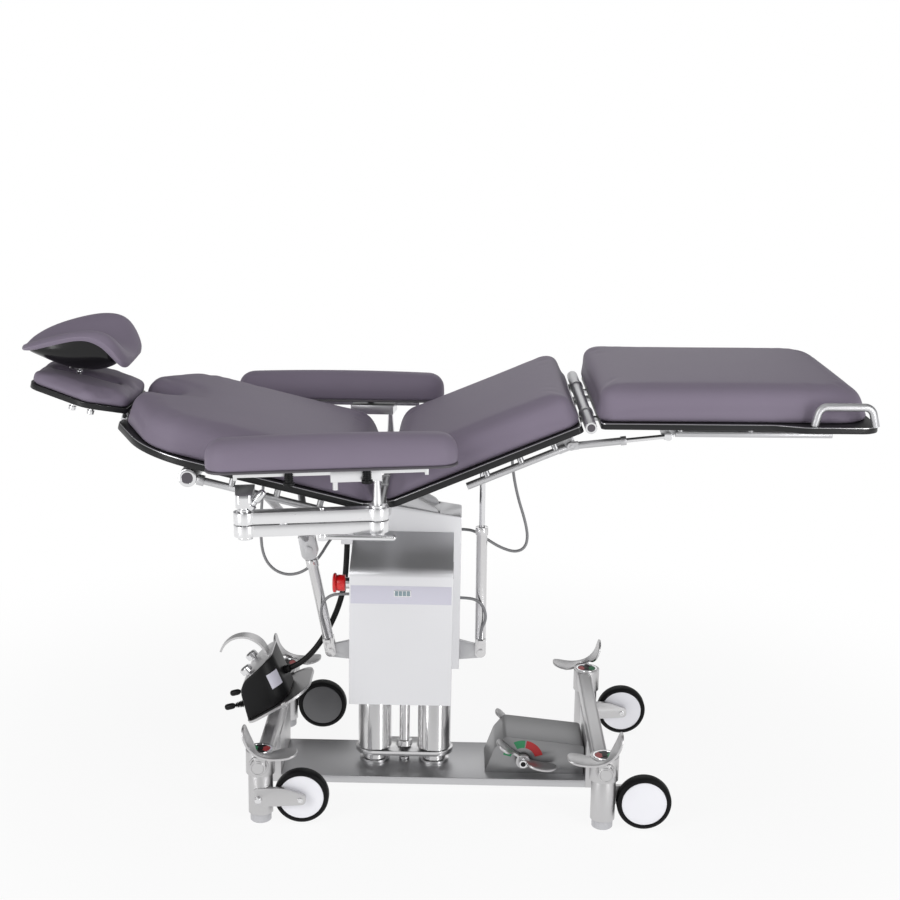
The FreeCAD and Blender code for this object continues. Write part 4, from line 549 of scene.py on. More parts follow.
@dataclass
class Cushion:
    """A foam pad on a board: its half outline in plan, its section and how its ends fall."""

    name: str
    node: str
    slope: Matrix
    half: Sequence[Point]
    floor: float
    height: float
    shoulder: float
    crown: float
    pull: float = 0.004
    lean: float = 0.06
    valley: float = 0.0
    voxel: float = 0.0055
    hem: float = 0.006
    tail: float = 0.0
    slot: Point | None = None
    pressure: float = 4.0
    cap: float = 0.005

    def outline(self) -> BMesh:
        """Draw the plan outline as one face with rounded corners.

        Returns:
            The outline.
        """
        bm = bmesh.new()
        rows = list(self.half)
        corners = rows + [(s, -y, r) for s, y, r in reversed(rows)]
        verts = [bm.verts.new((s, y, 0.0)) for s, y, _ in corners]
        bm.faces.new(verts)
        for radius in dict.fromkeys(r for _, _, r in corners):
            for vert, (_, _, own) in zip(verts, corners):
                if own == radius:
                    round_off(bm, [vert], corner_reach(vert, radius), 9, False, "VERTICES")
        return bm

    def block(self) -> BMesh:
        """Raise the outline to a block with its shoulder and hem rounded.

        Returns:
            The block.
        """
        bm = self.outline()
        raise_faces(bm, list(bm.faces), (0.0, 0.0, self.height))
        bmesh.ops.recalc_face_normals(bm, faces=bm.faces)
        for level, width, steps in ((self.height, self.shoulder, 6), (0.0, self.hem, 2)):
            ring = [e for e in bm.edges if all(abs(v.co.z - level) < LEVEL for v in e.verts)]
            round_off(bm, ring, width, steps, False)
        return bm

    def remeshed(self) -> bpy.types.Object:
        """Give the block an even skin of small faces.

        Returns:
            The skin's object.
        """
        obj = new_object(self.name, self.block())
        cutter = self.cutter()
        if cutter:
            cut = obj.modifiers.new("slot", "BOOLEAN")
            cut.object = cutter
            cut.solver = "EXACT"
        remesh = obj.modifiers.new("skin", "REMESH")
        remesh.mode = "VOXEL"
        remesh.voxel_size = self.voxel
        graph = bpy.context.evaluated_depsgraph_get()
        even = bpy.data.meshes.new_from_object(obj.evaluated_get(graph))
        obj.modifiers.clear()
        obj.data = even
        if cutter:
            bpy.data.objects.remove(cutter)
        return obj

    def cutter(self) -> bpy.types.Object | None:
        """Make the round-ended block that opens the pad's slot.

        Returns:
            The block's object, or none for a pad without a slot.
        """
        if not self.slot:
            return None
        start, stop, half = self.slot
        bm = bmesh.new()
        place = Matrix.Translation(((start + stop) / 2, 0, self.height / 2))
        size = Matrix.Diagonal((stop - start, 2 * half, 3 * self.height, 1))
        bmesh.ops.create_cube(bm, size=1.0, matrix=place @ size)
        upright = [e for e in bm.edges if abs(e.verts[0].co.z - e.verts[1].co.z) > MM]
        round_off(bm, upright, 0.95 * half, 6, False)
        return new_object("slot", bm)

    def shape(self, co: Vector, s0: float, s1: float, wide: float) -> Vector:
        """Return where a point of the block goes in the crowned and drawn-in pad.

        Args:
            co: The point.
            s0: The lower end of the pad's run.
            s1: Its upper end.
            wide: Its half width.

        Returns:
            The point of the finished pad, still flat on its board.
        """
        rise = min(1.0, max(0.0, co.z / self.height))
        run = (co.x - s0) / (s1 - s0)
        dome = max(0.0, 1 - (2 * run - 1) ** 2) * max(0.0, 1 - (co.y / wide) ** 2)
        waist = self.pull / wide * math.sin(math.pi * min(1.0, max(0.0, run)))
        draw = 1 - waist - self.lean * rise * rise * 0.35
        z = co.z + self.crown * dome * rise
        if self.valley:
            t = min(1.0, (co.x - s0) / self.valley)
            z *= 0.12 + 0.88 * math.sin(math.pi / 2 * max(0.0, t))
        return Vector((s0 + (co.x - s0) * (1 - self.tail * rise * rise), co.y * draw, z))

    def swollen(self, bm: BMesh) -> BMesh:
        """Blow a pad's skin out as foam does under tight cloth, held flat on its board.

        Args:
            bm: The shaped pad, which is used up.

        Returns:
            The swollen pad, no point of which has moved further than the cap.
        """
        obj = new_object("swelling", bm)
        mesh, scene = obj.data, bpy.context.scene
        glued = obj.vertex_groups.new(name="glued")
        glued.add([v.index for v in mesh.vertices if v.co.z < self.hem], 1.0, "REPLACE")
        cloth = obj.modifiers.new("swelling", "CLOTH")
        cloth.settings.use_pressure = True
        cloth.settings.uniform_pressure_force = self.pressure
        cloth.settings.effector_weights.gravity = 0.0
        cloth.settings.vertex_group_mass = glued.name
        cloth.settings.quality = CLOTH_QUALITY
        for number in range(1, CLOTH_FRAMES + 1):
            scene.frame_set(number)
        blown = obj.evaluated_get(bpy.context.evaluated_depsgraph_get()).data
        done = bmesh.new()
        done.from_mesh(mesh)
        for vert, point in zip(done.verts, blown.vertices):
            step = point.co - vert.co
            vert.co += step * min(1.0, self.cap / max(step.length, 1e-9))
        scene.frame_set(1)
        bpy.data.objects.remove(obj)
        bpy.data.meshes.remove(mesh)
        return done

    def build(self) -> None:
        obj = self.remeshed()
        bm = bmesh.new()
        bm.from_mesh(obj.data)
        bpy.data.objects.remove(obj)
        s0, s1 = min(v.co.x for v in bm.verts), max(v.co.x for v in bm.verts)
        wide = max(abs(v.co.y) for v in bm.verts)
        for vert in bm.verts:
            vert.co = self.shape(vert.co, s0, s1, wide)
        bm = self.swollen(bm)
        for _ in range(SMOOTHINGS):
            bmesh.ops.smooth_vert(
                bm, verts=bm.verts, factor=0.5, use_axis_x=True, use_axis_y=True, use_axis_z=True)
        bmesh.ops.translate(bm, verts=bm.verts, vec=(0.0, 0.0, self.floor))
        bmesh.ops.transform(bm, matrix=self.slope, verts=bm.verts)
        bmesh.ops.recalc_face_normals(bm, faces=bm.faces)
        piece = finish_piece(self.name, bm, [LEATHERETTE], body_of(self.node), [self.node], 80.0)


ARM_HEAD = Vector((-0.404, 0.0, 0.749))
ARM_OUT = {"near": -0.352, "far": 0.348}
ARM_YAW, ARM_TILT = math.radians(6.1), math.radians(1.5)
ARM_REACH, REST_OFFSET = 0.284, 0.045
REST_SLIDE = {"near": 0.0, "far": -0.038}


def arm_matrix(side: str) -> Matrix:
    """Work out an armrest's own frame, at its first post.

    Args:
        side: near or far.

    Returns:
        The matrix from that frame to the table.
    """
    turn = Matrix.Rotation(-ARM_TILT, 4, "Y") @ Matrix.Rotation(ARM_YAW, 4, "Z")
    near = Matrix.Translation((ARM_HEAD.x, -abs(ARM_OUT[side]), ARM_HEAD.z)) @ turn
    return near if side == "near" else Matrix.Scale(-1, 4, (0, 1, 0)) @ near


BOARD_TOP = {"seat": 0.030, "leg": 0.008, "back": 0.028, "head": 0.058}


@dataclass
class Upholstery:
    """Every pad of the lying surface and the armrests: the corners of each one's half outline."""

    seat: Sequence[Point] = ((0.028, 0.290, 0.03), (0.482, 0.290, 0.03))
    leg: Sequence[Point] = ((0.017, 0.291, 0.034), (0.608, 0.291, 0.085))
    back: Sequence[Point] = (
        (0.026, 0.290, 0.03), (0.520, 0.291, 0.1), (0.607, 0.118, 0.035), (0.607, 0.050, 0.022),
        (0.524, 0.050, 0.048))
    head: Sequence[Point] = ((0.614, 0.104, 0.024), (0.700, 0.146, 0.035), (0.842, 0.086, 0.04))
    arm: Sequence[Point] = ((-0.361, 0.045, 0.043), (0.170, 0.045, 0.043))
    arm_floor: float = 0.105

    def build(self) -> None:
        """Build the pads section by section."""
        Cushion("seat_cushion", "seat_pad", SEAT.matrix(), self.seat, BOARD_TOP["seat"], 0.074, 0.026, 0.005,
                valley=0.062).build()
        Cushion("leg_cushion", "leg_pad", LEG.matrix(), self.leg, BOARD_TOP["leg"], 0.074, 0.024, 0.005,
                tail=0.045).build()
        Cushion("back_cushion", "back_pad", BACK.matrix(), self.back, BOARD_TOP["back"], 0.076, 0.032, 0.007,
                valley=0.062).build()
        Cushion("head_cushion", "head_pad", BACK.matrix(), self.head, BOARD_TOP["head"], 0.027, 0.012, 0.003,
                0.001, 0.03, voxel=0.004, hem=0.003, slot=(0.655, 0.815, 0.014)).build()
        for side in ("near", "far"):
            place = arm_matrix(side) @ Matrix.Translation((REST_SLIDE[side] + ARM_REACH, -REST_OFFSET, 0.0))
            Cushion(f"armrest_cushion_{side}", f"armrest_pad_{side}", place, self.arm, self.arm_floor, 0.064,
                    0.035, 0.006, 0.002, 0.10, voxel=0.0045).build()


@dataclass
class Studio:
    """The floor, the lights, the white surround and the camera."""

    eye: Point = (0.0499, -3.6091, 1.6417)
    pitch: float = 0.2261
    yaw: float = -0.0054
    roll: float = 0.0179
    focal_pixels: float = 1582.06
    picture: int = 900
    sensor: float = 36.0
    floor_half: float = 30.0
    fade_from: float = 0.7
    fade_to: float = 2.0
    aim_height: float = 0.5

    def build(self) -> None:
        """Build everything round the table."""
        self.floor()
        self.surround()
        self.lights()
        self.camera()

    def floor(self) -> None:
        """Lay a wide pale floor."""
        bm = bmesh.new()
        bmesh.ops.create_grid(bm, x_segments=1, y_segments=1, size=self.floor_half)
        obj = new_object("studio_floor", bm)
        paint = bpy.data.materials.new("studio_floor")
        paint.use_nodes = True
        shader = paint.node_tree.nodes["Principled BSDF"]
        set_sockets(shader, {
            "Base Color": (0.9, 0.9, 0.9, 1.0), "Roughness": 0.6, "Specular IOR Level": 0.1})
        self.fade(paint.node_tree, shader)
        obj.data.materials.append(paint)

    def fade(self, tree: bpy.types.NodeTree, shader: bpy.types.Node) -> None:
        """Let the floor glow white with distance, so that it has no horizon.

        Args:
            tree: The floor's node tree.
            shader: Its own shader.
        """
        place = new_node(tree, "TexCoord")
        reach = new_node(tree, "VectorMath")
        reach.operation = "LENGTH"
        tree.links.new(place.outputs["Object"], reach.inputs[0])
        share = new_node(tree, "MapRange",
                         {"From Min": self.fade_from, "From Max": self.fade_to, "To Min": 0.9})
        share.interpolation_type = "SMOOTHSTEP"
        tree.links.new(reach.outputs["Value"], share.inputs["Value"])
        glow = new_node(tree, "Emission")
        mix = new_node(tree, "MixShader")
        tree.links.new(share.outputs["Result"], mix.inputs[0])
        tree.links.new(shader.outputs["BSDF"], mix.inputs[1])
        tree.links.new(glow.outputs["Emission"], mix.inputs[2])
        tree.links.new(mix.outputs["Shader"], tree.nodes["Material Output"].inputs["Surface"])

    def surround(self) -> None:
        """Set a white surround that is greyer low down where metal mirrors it."""
        scene = bpy.context.scene
        world = bpy.data.worlds.new("studio")
        scene.world = world
        world.use_nodes = True
        tree = world.node_tree
        back = tree.nodes["Background"]
        place = new_node(tree, "TexCoord")
        split = new_node(tree, "SeparateXYZ")
        tree.links.new(place.outputs["Generated"], split.inputs["Vector"])
        ramp = new_node(tree, "ValToRGB")
        stops = ramp.color_ramp.elements
        stops[0].position, stops[0].color = 0.0, (0.62, 0.62, 0.63, 1.0)
        stops[1].position, stops[1].color = 0.78, (0.07, 0.07, 0.075, 1.0)
        for position, level in ((0.16, 0.20), (0.30, 0.60), (0.50, 0.30)):
            stops.new(position).color = (level, level, level, 1.0)
        tree.links.new(split.outputs["Z"], ramp.inputs["Fac"])
        seen = new_node(tree, "LightPath")
        pick = new_node(tree, "Mix")
        pick.data_type = "RGBA"
        set_sockets(pick, {MIX_B: (1.0, 1.0, 1.0, 1.0)})
        tree.links.new(seen.outputs["Is Camera Ray"], pick.inputs[0])
        tree.links.new(ramp.outputs["Color"], pick.inputs[MIX_A])
        tree.links.new(pick.outputs[MIX_RESULT], back.inputs["Color"])
        set_sockets(back, {"Strength": 1.0})
        scene.view_settings.view_transform = "Standard"

    def lights(self) -> None:
        """Hang large soft lights over the table."""
        for name, place, width, height, power in (
            ("overhead", (0.0, -0.3, 3.2), 3.2, 3.2, 20.0),
            ("front_left", (-2.2, -2.6, 2.4), 2.0, 2.0, 34.0),
            ("front_right", (2.4, -2.4, 1.8), 1.6, 1.6, 24.0),
            ("left_strip", (-1.9, -1.7, 0.6), 0.22, 1.5, 9.0),
            ("right_strip", (1.7, -2.0, 0.6), 0.22, 1.5, 9.0),
            ("behind", (0.4, 2.8, 2.2), 2.2, 2.2, 12.0),
        ):
            light = bpy.data.lights.new(name, "AREA")
            light.shape = "RECTANGLE"
            light.size = width
            light.size_y = height
            light.energy = power
            obj = bpy.data.objects.new(name, light)
            aim = Vector((0.0, 0.0, self.aim_height)) - Vector(place)
            obj.matrix_world = Matrix.Translation(place) @ aim.to_track_quat("-Z", "Y").to_matrix().to_4x4()
            bpy.context.scene.collection.objects.link(obj)

    def camera(self) -> None:
        """Set the camera at the photograph's view."""
        right = Vector((math.cos(self.yaw), -math.sin(self.yaw), 0.0))
        ahead = Vector((math.sin(self.yaw), math.cos(self.yaw), 0.0))
        down = Vector((0.0, 0.0, -1.0))
        forward = ahead * math.cos(self.pitch) + down * math.sin(self.pitch)
        below = down * math.cos(self.pitch) - ahead * math.sin(self.pitch)
        across = right * math.cos(self.roll) - below * math.sin(self.roll)
        upright = -(right * math.sin(self.roll) + below * math.cos(self.roll))
        lens = bpy.data.cameras.new("photo_view")
        lens.sensor_width = self.sensor
        lens.lens = self.focal_pixels / self.picture * lens.sensor_width
        obj = bpy.data.objects.new("photo_view", lens)
        turn = Matrix((across, upright, -forward)).transposed().to_4x4()
        obj.matrix_world = Matrix.Translation(self.eye) @ turn
        bpy.context.scene.collection.objects.link(obj)
        bpy.context.scene.camera = obj


def axis_frame(origin: Sequence[float], direction: Sequence[float]) -> Matrix:
    """Return a frame at a point whose own Z runs along a direction."""
    turn = Vector(direction).to_track_quat("Z", "Y").to_matrix().to_4x4()
    return Matrix.Translation(origin) @ turn


def turned(
    bm: BMesh, profile: Profile, place: Matrix, finish_no: int = 0, steps: int = 40, closed: bool = False,
    angle: float = 2 * math.pi
) -> None:
    """Add a turned form to a mesh.

    Args:
        bm: The mesh to add to.
        profile: Points as (radius, distance along the axis).
        place: The frame whose Z is the axis.
        finish_no: The number of its finish.
        steps: How many steps make the round.
        closed: Whether the profile's last point joins its first.
        angle: The turn; less than a full one gives a capped sector.
    """
    known = set(bm.faces)
    verts = [bm.verts.new((r, 0.0, d)) for r, d in profile]
    edges = [bm.edges.new(pair) for pair in zip(verts, verts[1:])]
    if closed:
        edges.append(bm.edges.new((verts[-1], verts[0])))
    whole = angle >= 2 * math.pi
    bmesh.ops.spin(
        bm, geom=verts + edges, cent=(0, 0, 0), axis=(0, 0, 1), angle=angle, steps=steps, use_merge=whole)
    bmesh.ops.remove_doubles(bm, verts=points_of(added(bm, known)), dist=FINE_WELD)
    fresh = added(bm, known)
    if not whole:
        rim = [e for f in fresh for e in f.edges if e.is_boundary]
        bmesh.ops.holes_fill(bm, edges=list(set(rim)), sides=0)
        fresh = added(bm, known)
    bmesh.ops.recalc_face_normals(bm, faces=fresh)
    for face in fresh:
        face.material_index = finish_no
    bmesh.ops.transform(bm, matrix=place, verts=points_of(fresh))


def panel(bm: BMesh, size: Sequence[float], place: Matrix, ease: float, finish_no: int = 0) -> None:
    """Add a flat block with eased edges.

    Args:
        bm: The mesh to add to.
        size: Its length, width and height.
        place: The frame at its middle.
        ease: The reach of its eased edges.
        finish_no: The number of its finish.
    """
    known = set(bm.faces)
    made = bmesh.ops.create_cube(bm, size=1.0, matrix=place @ Matrix.Diagonal((*size, 1.0)))
    round_off(bm, list({e for v in made["verts"] for e in v.link_edges}), ease, 2)
    for face in added(bm, known):
        face.material_index = finish_no


def screw(bm: BMesh, place: Matrix, radius: float, height: float, finish_no: int = 0) -> None:
    """Add a socket screw's head.

    Args:
        bm: The mesh to add to.
        place: The frame whose origin it stands on.
        radius: Its radius.
        height: Its height.
        finish_no: The number of its finish.
    """
    r, h = radius, height
    rows = [(0.0, 0.0), (r, 0.0), (r, 0.75 * h), (0.86 * r, h), (0.52 * r, h), (0.46 * r, 0.5 * h),
            (0.0, 0.5 * h)]
    turned(bm, rows, place, finish_no, 24)


@dataclass
class Boards:
    """The boards under the pads, each with a painted highlight round its upper edge: a bright polished-metal
    finish on the eased edge where the light catches it.
    """

    ease: float = 1.8 * MM
    head_low: float = 0.046
    bolt_runs: Sequence[float] = (0.690, 0.732)
    bolt_half: float = 0.115
    bolt: Profile = (
        (0.0, -0.0005), (0.010, -0.0005), (0.010, 0.003), (0.0055, 0.0035), (0.0055, 0.009), (0.0085, 0.0095),
        (0.0085, 0.017), (0.007, 0.0185), (0.0, 0.0188))

    def build(self) -> None:
        """Dress the four boards and hang the head board's bolts."""
        for name, slope in (("seat", SEAT), ("leg", LEG), ("back", BACK), ("head", BACK)):
            local = slope.matrix().inverted()
            up = slope.matrix().to_3x3() @ Vector((0, 0, 1))
            brow = BOARD_TOP[name] - 1.2 * self.ease

            def zone(face: BMFace, local: Matrix = local, up: Vector = up, brow: float = brow) -> int:
                """Tell the eased upper edge, which carries the painted highlight, from the rest of the board.
                """
                high = (local @ face.calc_center_median()).z > brow
                return int(high and 0.2 < face.normal.dot(up) < 0.97)

            # The upper eased edge gets the painted-highlight finish; the rest of the board stays charcoal.
            softened(f"{name}_plate", [BOARD, EDGE], self.ease, zone)
        self.head_bolts()

    def head_bolts(self) -> None:
        """Hang the bright clamp bolts under the head board."""
        bm = bmesh.new()
        down = BACK.matrix() @ Matrix.Rotation(math.pi, 4, "X")
        for s in self.bolt_runs:
            for y in (-self.bolt_half, self.bolt_half):
                turned(bm, self.bolt, down @ Matrix.Translation((s, -y, -self.head_low)), 0, 28)
        finish_piece("head_clamp_bolts", bm, [CHROME], "head")


@dataclass
class Headrest:
    """The saddle pad with its raised wings, the black bowl under it and the ball stem."""

    pad_rows: Sequence[tuple[float, ...]] = (
        (-0.952, 0.030, 1.048, 1.047, 0.040, 1.041, 1.040),
        (-0.943, 0.066, 1.055, 1.048, 0.080, 1.045, 1.040),
        (-0.915, 0.090, 1.069, 1.051, 0.108, 1.054, 1.041),
        (-0.870, 0.099, 1.084, 1.053, 0.117, 1.066, 1.040),
        (-0.825, 0.102, 1.095, 1.055, 0.120, 1.078, 1.040),
        (-0.790, 0.102, 1.100, 1.055, 0.120, 1.082, 1.040),
        (-0.758, 0.102, 1.098, 1.052, 0.120, 1.070, 1.036),
        (-0.735, 0.100, 1.087, 1.045, 0.118, 1.046, 1.028),
        (-0.718, 0.096, 1.064, 1.034, 0.112, 1.020, 1.014),
        (-0.706, 0.086, 1.040, 1.026, 0.100, 1.012, 1.010),
        (-0.700, 0.064, 1.028, 1.022, 0.074, 1.014, 1.013))
    bowl_rows: Sequence[tuple[float, ...]] = (
        (-0.936, 0.070, 1.048, 1.040, 1.045), (-0.915, 0.094, 1.056, 1.030, 1.046),
        (-0.885, 0.107, 1.065, 1.013, 1.045), (-0.845, 0.113, 1.075, 0.996, 1.046),
        (-0.805, 0.115, 1.083, 0.989, 1.046), (-0.770, 0.114, 1.076, 0.992, 1.043),
        (-0.744, 0.110, 1.056, 1.003, 1.036), (-0.728, 0.100, 1.038, 1.014, 1.029))
    socket: Profile = (
        (0.0, 0.0076), (0.021, 0.0076), (0.023, 0.009), (0.023, 0.0105), (0.021, 0.012), (0.0, 0.012))
    roll: float = 0.06
    ball: Point = (-0.8323, 0.0, 0.982)
    round_points: int = 44

    def ring(self, bm: BMesh, place: Callable[[float, float], Vector]) -> list[BMEdge]:
        """Add one closed section and return its edges.

        Args:
            bm: The mesh to add to.
            place: Gives a point's place from its share across and its share of height on a unit circle.

        Returns:
            The section's edges.
        """
        ring = bmesh.ops.create_circle(bm, segments=self.round_points, radius=1.0)["verts"]
        for vert in ring:
            vert.co = place(vert.co.x, vert.co.y)
        return list({e for v in ring for e in v.link_edges})

    @staticmethod
    def pad_point(row: Sequence[float], c: float, s: float) -> Vector:
        """Place a point of the pad's section: a trough between two wings that roll outwards.

        Args:
            row: The section's sizes.
            c: The point's share across.
            s: Its share of height.

        Returns:
            The point.
        """
        x, ridge, crest, trough, half, low, under = row
        y = half * math.copysign(abs(c) ** 0.75, c)
        across = abs(y)
        edge = (crest + low) / 2
        if s >= 0 and across <= ridge:
            z = trough + (crest - trough) * (1 - math.cos(math.pi * across / ridge)) / 2
        elif s >= 0:
            z = crest - (crest - edge) * ((across - ridge) / (half - ridge)) ** 2
        else:
            lift = max(0.0, across / half - 0.88) / 0.12
            z = under + (low - under) * (across / half) ** 2.5 + (edge - low) * lift * lift
        return Vector((x, y, z))

    @staticmethod
    def bowl_point(row: Sequence[float], c: float, s: float) -> Vector:
        """Place a point of the bowl's section, hollowed on top to carry the pad.

        Args:
            row: The section's sizes.
            c: The point's share across.
            s: Its share of height.

        Returns:
            The point.
        """
        x, half, edge, low, inner = row
        y = half * c
        z = edge - (edge - low) * abs(s) ** 0.85 if s < 0 else edge - (edge - inner) * (1 - c * c)
        return Vector((x, y, z))

    def skin(
        self, rows: Sequence[Sequence[float]], point: Callable[[Sequence[float], float, float], Vector]
    ) -> BMesh:
        """Close a skin through a row of sections.

        Args:
            rows: The sections' sizes.
            point: Places a point of one section.

        Returns:
            The skin.
        """
        bm = bmesh.new()
        rings = [self.ring(bm, lambda c, s, row=row: point(row, c, s)) for row in rows]
        for a, b in zip(rings, rings[1:]):
            bmesh.ops.bridge_loops(bm, edges=a + b)
        for end in (rings[0], rings[-1]):
            bmesh.ops.holes_fill(bm, edges=end, sides=0)
        for vert in bm.verts:
            vert.co.z += self.roll * vert.co.y
        bmesh.ops.recalc_face_normals(bm, faces=bm.faces)
        return bm

    def build(self) -> None:
        """Build the pad, the bowl and its socket, and dress the stem."""
        pad = finish_piece("headrest_cushion", self.skin(self.pad_rows, self.pad_point), [LEATHERETTE],
                           "headrest", ["headrest_pad"], 180.0)
        bowl = finish_piece("headrest_bowl", self.skin(self.bowl_rows, self.bowl_point), [GLOSS_BLACK],
                            "headrest", ["headrest_shell"], 180.0)
        for piece in (pad, bowl):
            finer = piece.modifiers.new("smooth", "SUBSURF")
            finer.levels = finer.render_levels = 2
        bm = bmesh.new()
        turned(bm, self.socket, Matrix.Translation(self.ball), 0, 48)
        finish_piece("headrest_socket", bm, [CHROME], "headrest")
        softened("headrest_stem", [CHROME], 0.6 * MM)


COLUMN_X = {"head": -0.385, "foot": 0.394}
TRACK, TRAIL, WHEEL_RADIUS, WHEEL_HALF = 0.275, 0.093, 0.0625, 0.016
FORK_SIDE = {"head_near": -1, "head_far": 1, "foot_near": 1, "foot_far": -1}
FORK_THICK, FORK_GAP = 0.010, 0.004
BRAKE_Z, SLEEVE_FACE, HUB_THICK, SLEEVE_TOP = 0.148, 0.311, 0.020, 0.173


@dataclass(frozen=True)
class Paddle:
    """A bent rocker plate with a broad round lobe at each end, laid along a smooth bow."""

    bow: tuple[tuple[float, float], ...]
    plan: tuple[Point, ...]
    length: float
    thick: float = 0.006
    ease: float = 0.0016
    bends: int = 26

    def along(self, share: float) -> tuple[Vector, Vector]:
        """Follow the bow.

        Args:
            share: A share of its length.

        Returns:
            The bow's place there, and its upward direction.
        """
        p = [Vector((u, 0.0, v)) for u, v in self.bow]
        t = min(1.0, max(0.0, share))
        m = 1 - t
        spot = p[0] * m ** 3 + p[1] * (3 * m * m * t) + p[2] * (3 * m * t * t) + p[3] * t ** 3
        run = (p[1] - p[0]) * (m * m) + (p[2] - p[1]) * (2 * m * t) + (p[3] - p[2]) * (t * t)
        run.normalize()
        return spot, Vector((-run.z, 0.0, run.x))

    def add(self, bm: BMesh, origin: Vector, lean: float, inward: float) -> None:
        """Add the paddle to a mesh.

        Args:
            bm: The mesh to add to.
            origin: The pivot, at the paddle's outer face.
            lean: +1 or -1, the side that its low lobe points to along X.
            inward: +1 or -1, the side that its lobes reach to along Y.
        """
        plate = bmesh.new()
        verts = [plate.verts.new((s, w, 0.0)) for s, w, _ in self.plan]
        plate.faces.new(verts)
        for vert, (_, _, radius) in zip(verts, self.plan):
            round_off(plate, [vert], corner_reach(vert, radius), 6, True, "VERTICES")
        raise_faces(plate, list(plate.faces), (0, 0, self.thick))
        bmesh.ops.recalc_face_normals(plate, faces=plate.faces)
        round_off(plate, level_edges(plate), self.ease, 2)
        for step in range(1, self.bends):
            cut = self.length * step / self.bends
            bmesh.ops.bisect_plane(plate, geom=plate.verts[:] + plate.edges[:] + plate.faces[:], dist=LEVEL,
                                   plane_co=(cut, 0, 0), plane_no=(1, 0, 0))
        for vert in plate.verts:
            spot, up = self.along(vert.co.x / self.length)
            bent = spot + up * (vert.co.z - self.thick / 2)
            vert.co = origin + Vector((lean * bent.x, inward * vert.co.y, bent.z))
        bmesh.ops.recalc_face_normals(plate, faces=plate.faces)
        flat = bpy.data.meshes.new("paddle")
        plate.to_mesh(flat)
        plate.free()
        bm.from_mesh(flat)
        bpy.data.meshes.remove(flat)


BRAKE_PADDLE = Paddle(
    ((-0.034, 0.077), (-0.030, 0.010), (0.022, -0.004), (0.086, 0.017)),
    ((0.0, 0.0, 0.020), (0.0, 0.064, 0.028), (0.050, 0.056, 0.030), (0.068, 0.018, 0.020),
     (0.096, 0.018, 0.020), (0.112, 0.056, 0.030), (0.156, 0.064, 0.028), (0.156, 0.0, 0.020)), 0.156)
CENTRAL_PADDLE = Paddle(
    ((-0.064, 0.052), (-0.030, 0.030), (-0.010, -0.014), (0.080, -0.010)),
    ((0.0, 0.0, 0.018), (0.0, 0.050, 0.022), (0.046, 0.044, 0.024), (0.062, 0.012, 0.016),
     (0.098, 0.012, 0.016), (0.112, 0.044, 0.024), (0.160, 0.050, 0.022), (0.160, 0.0, 0.018)), 0.160)


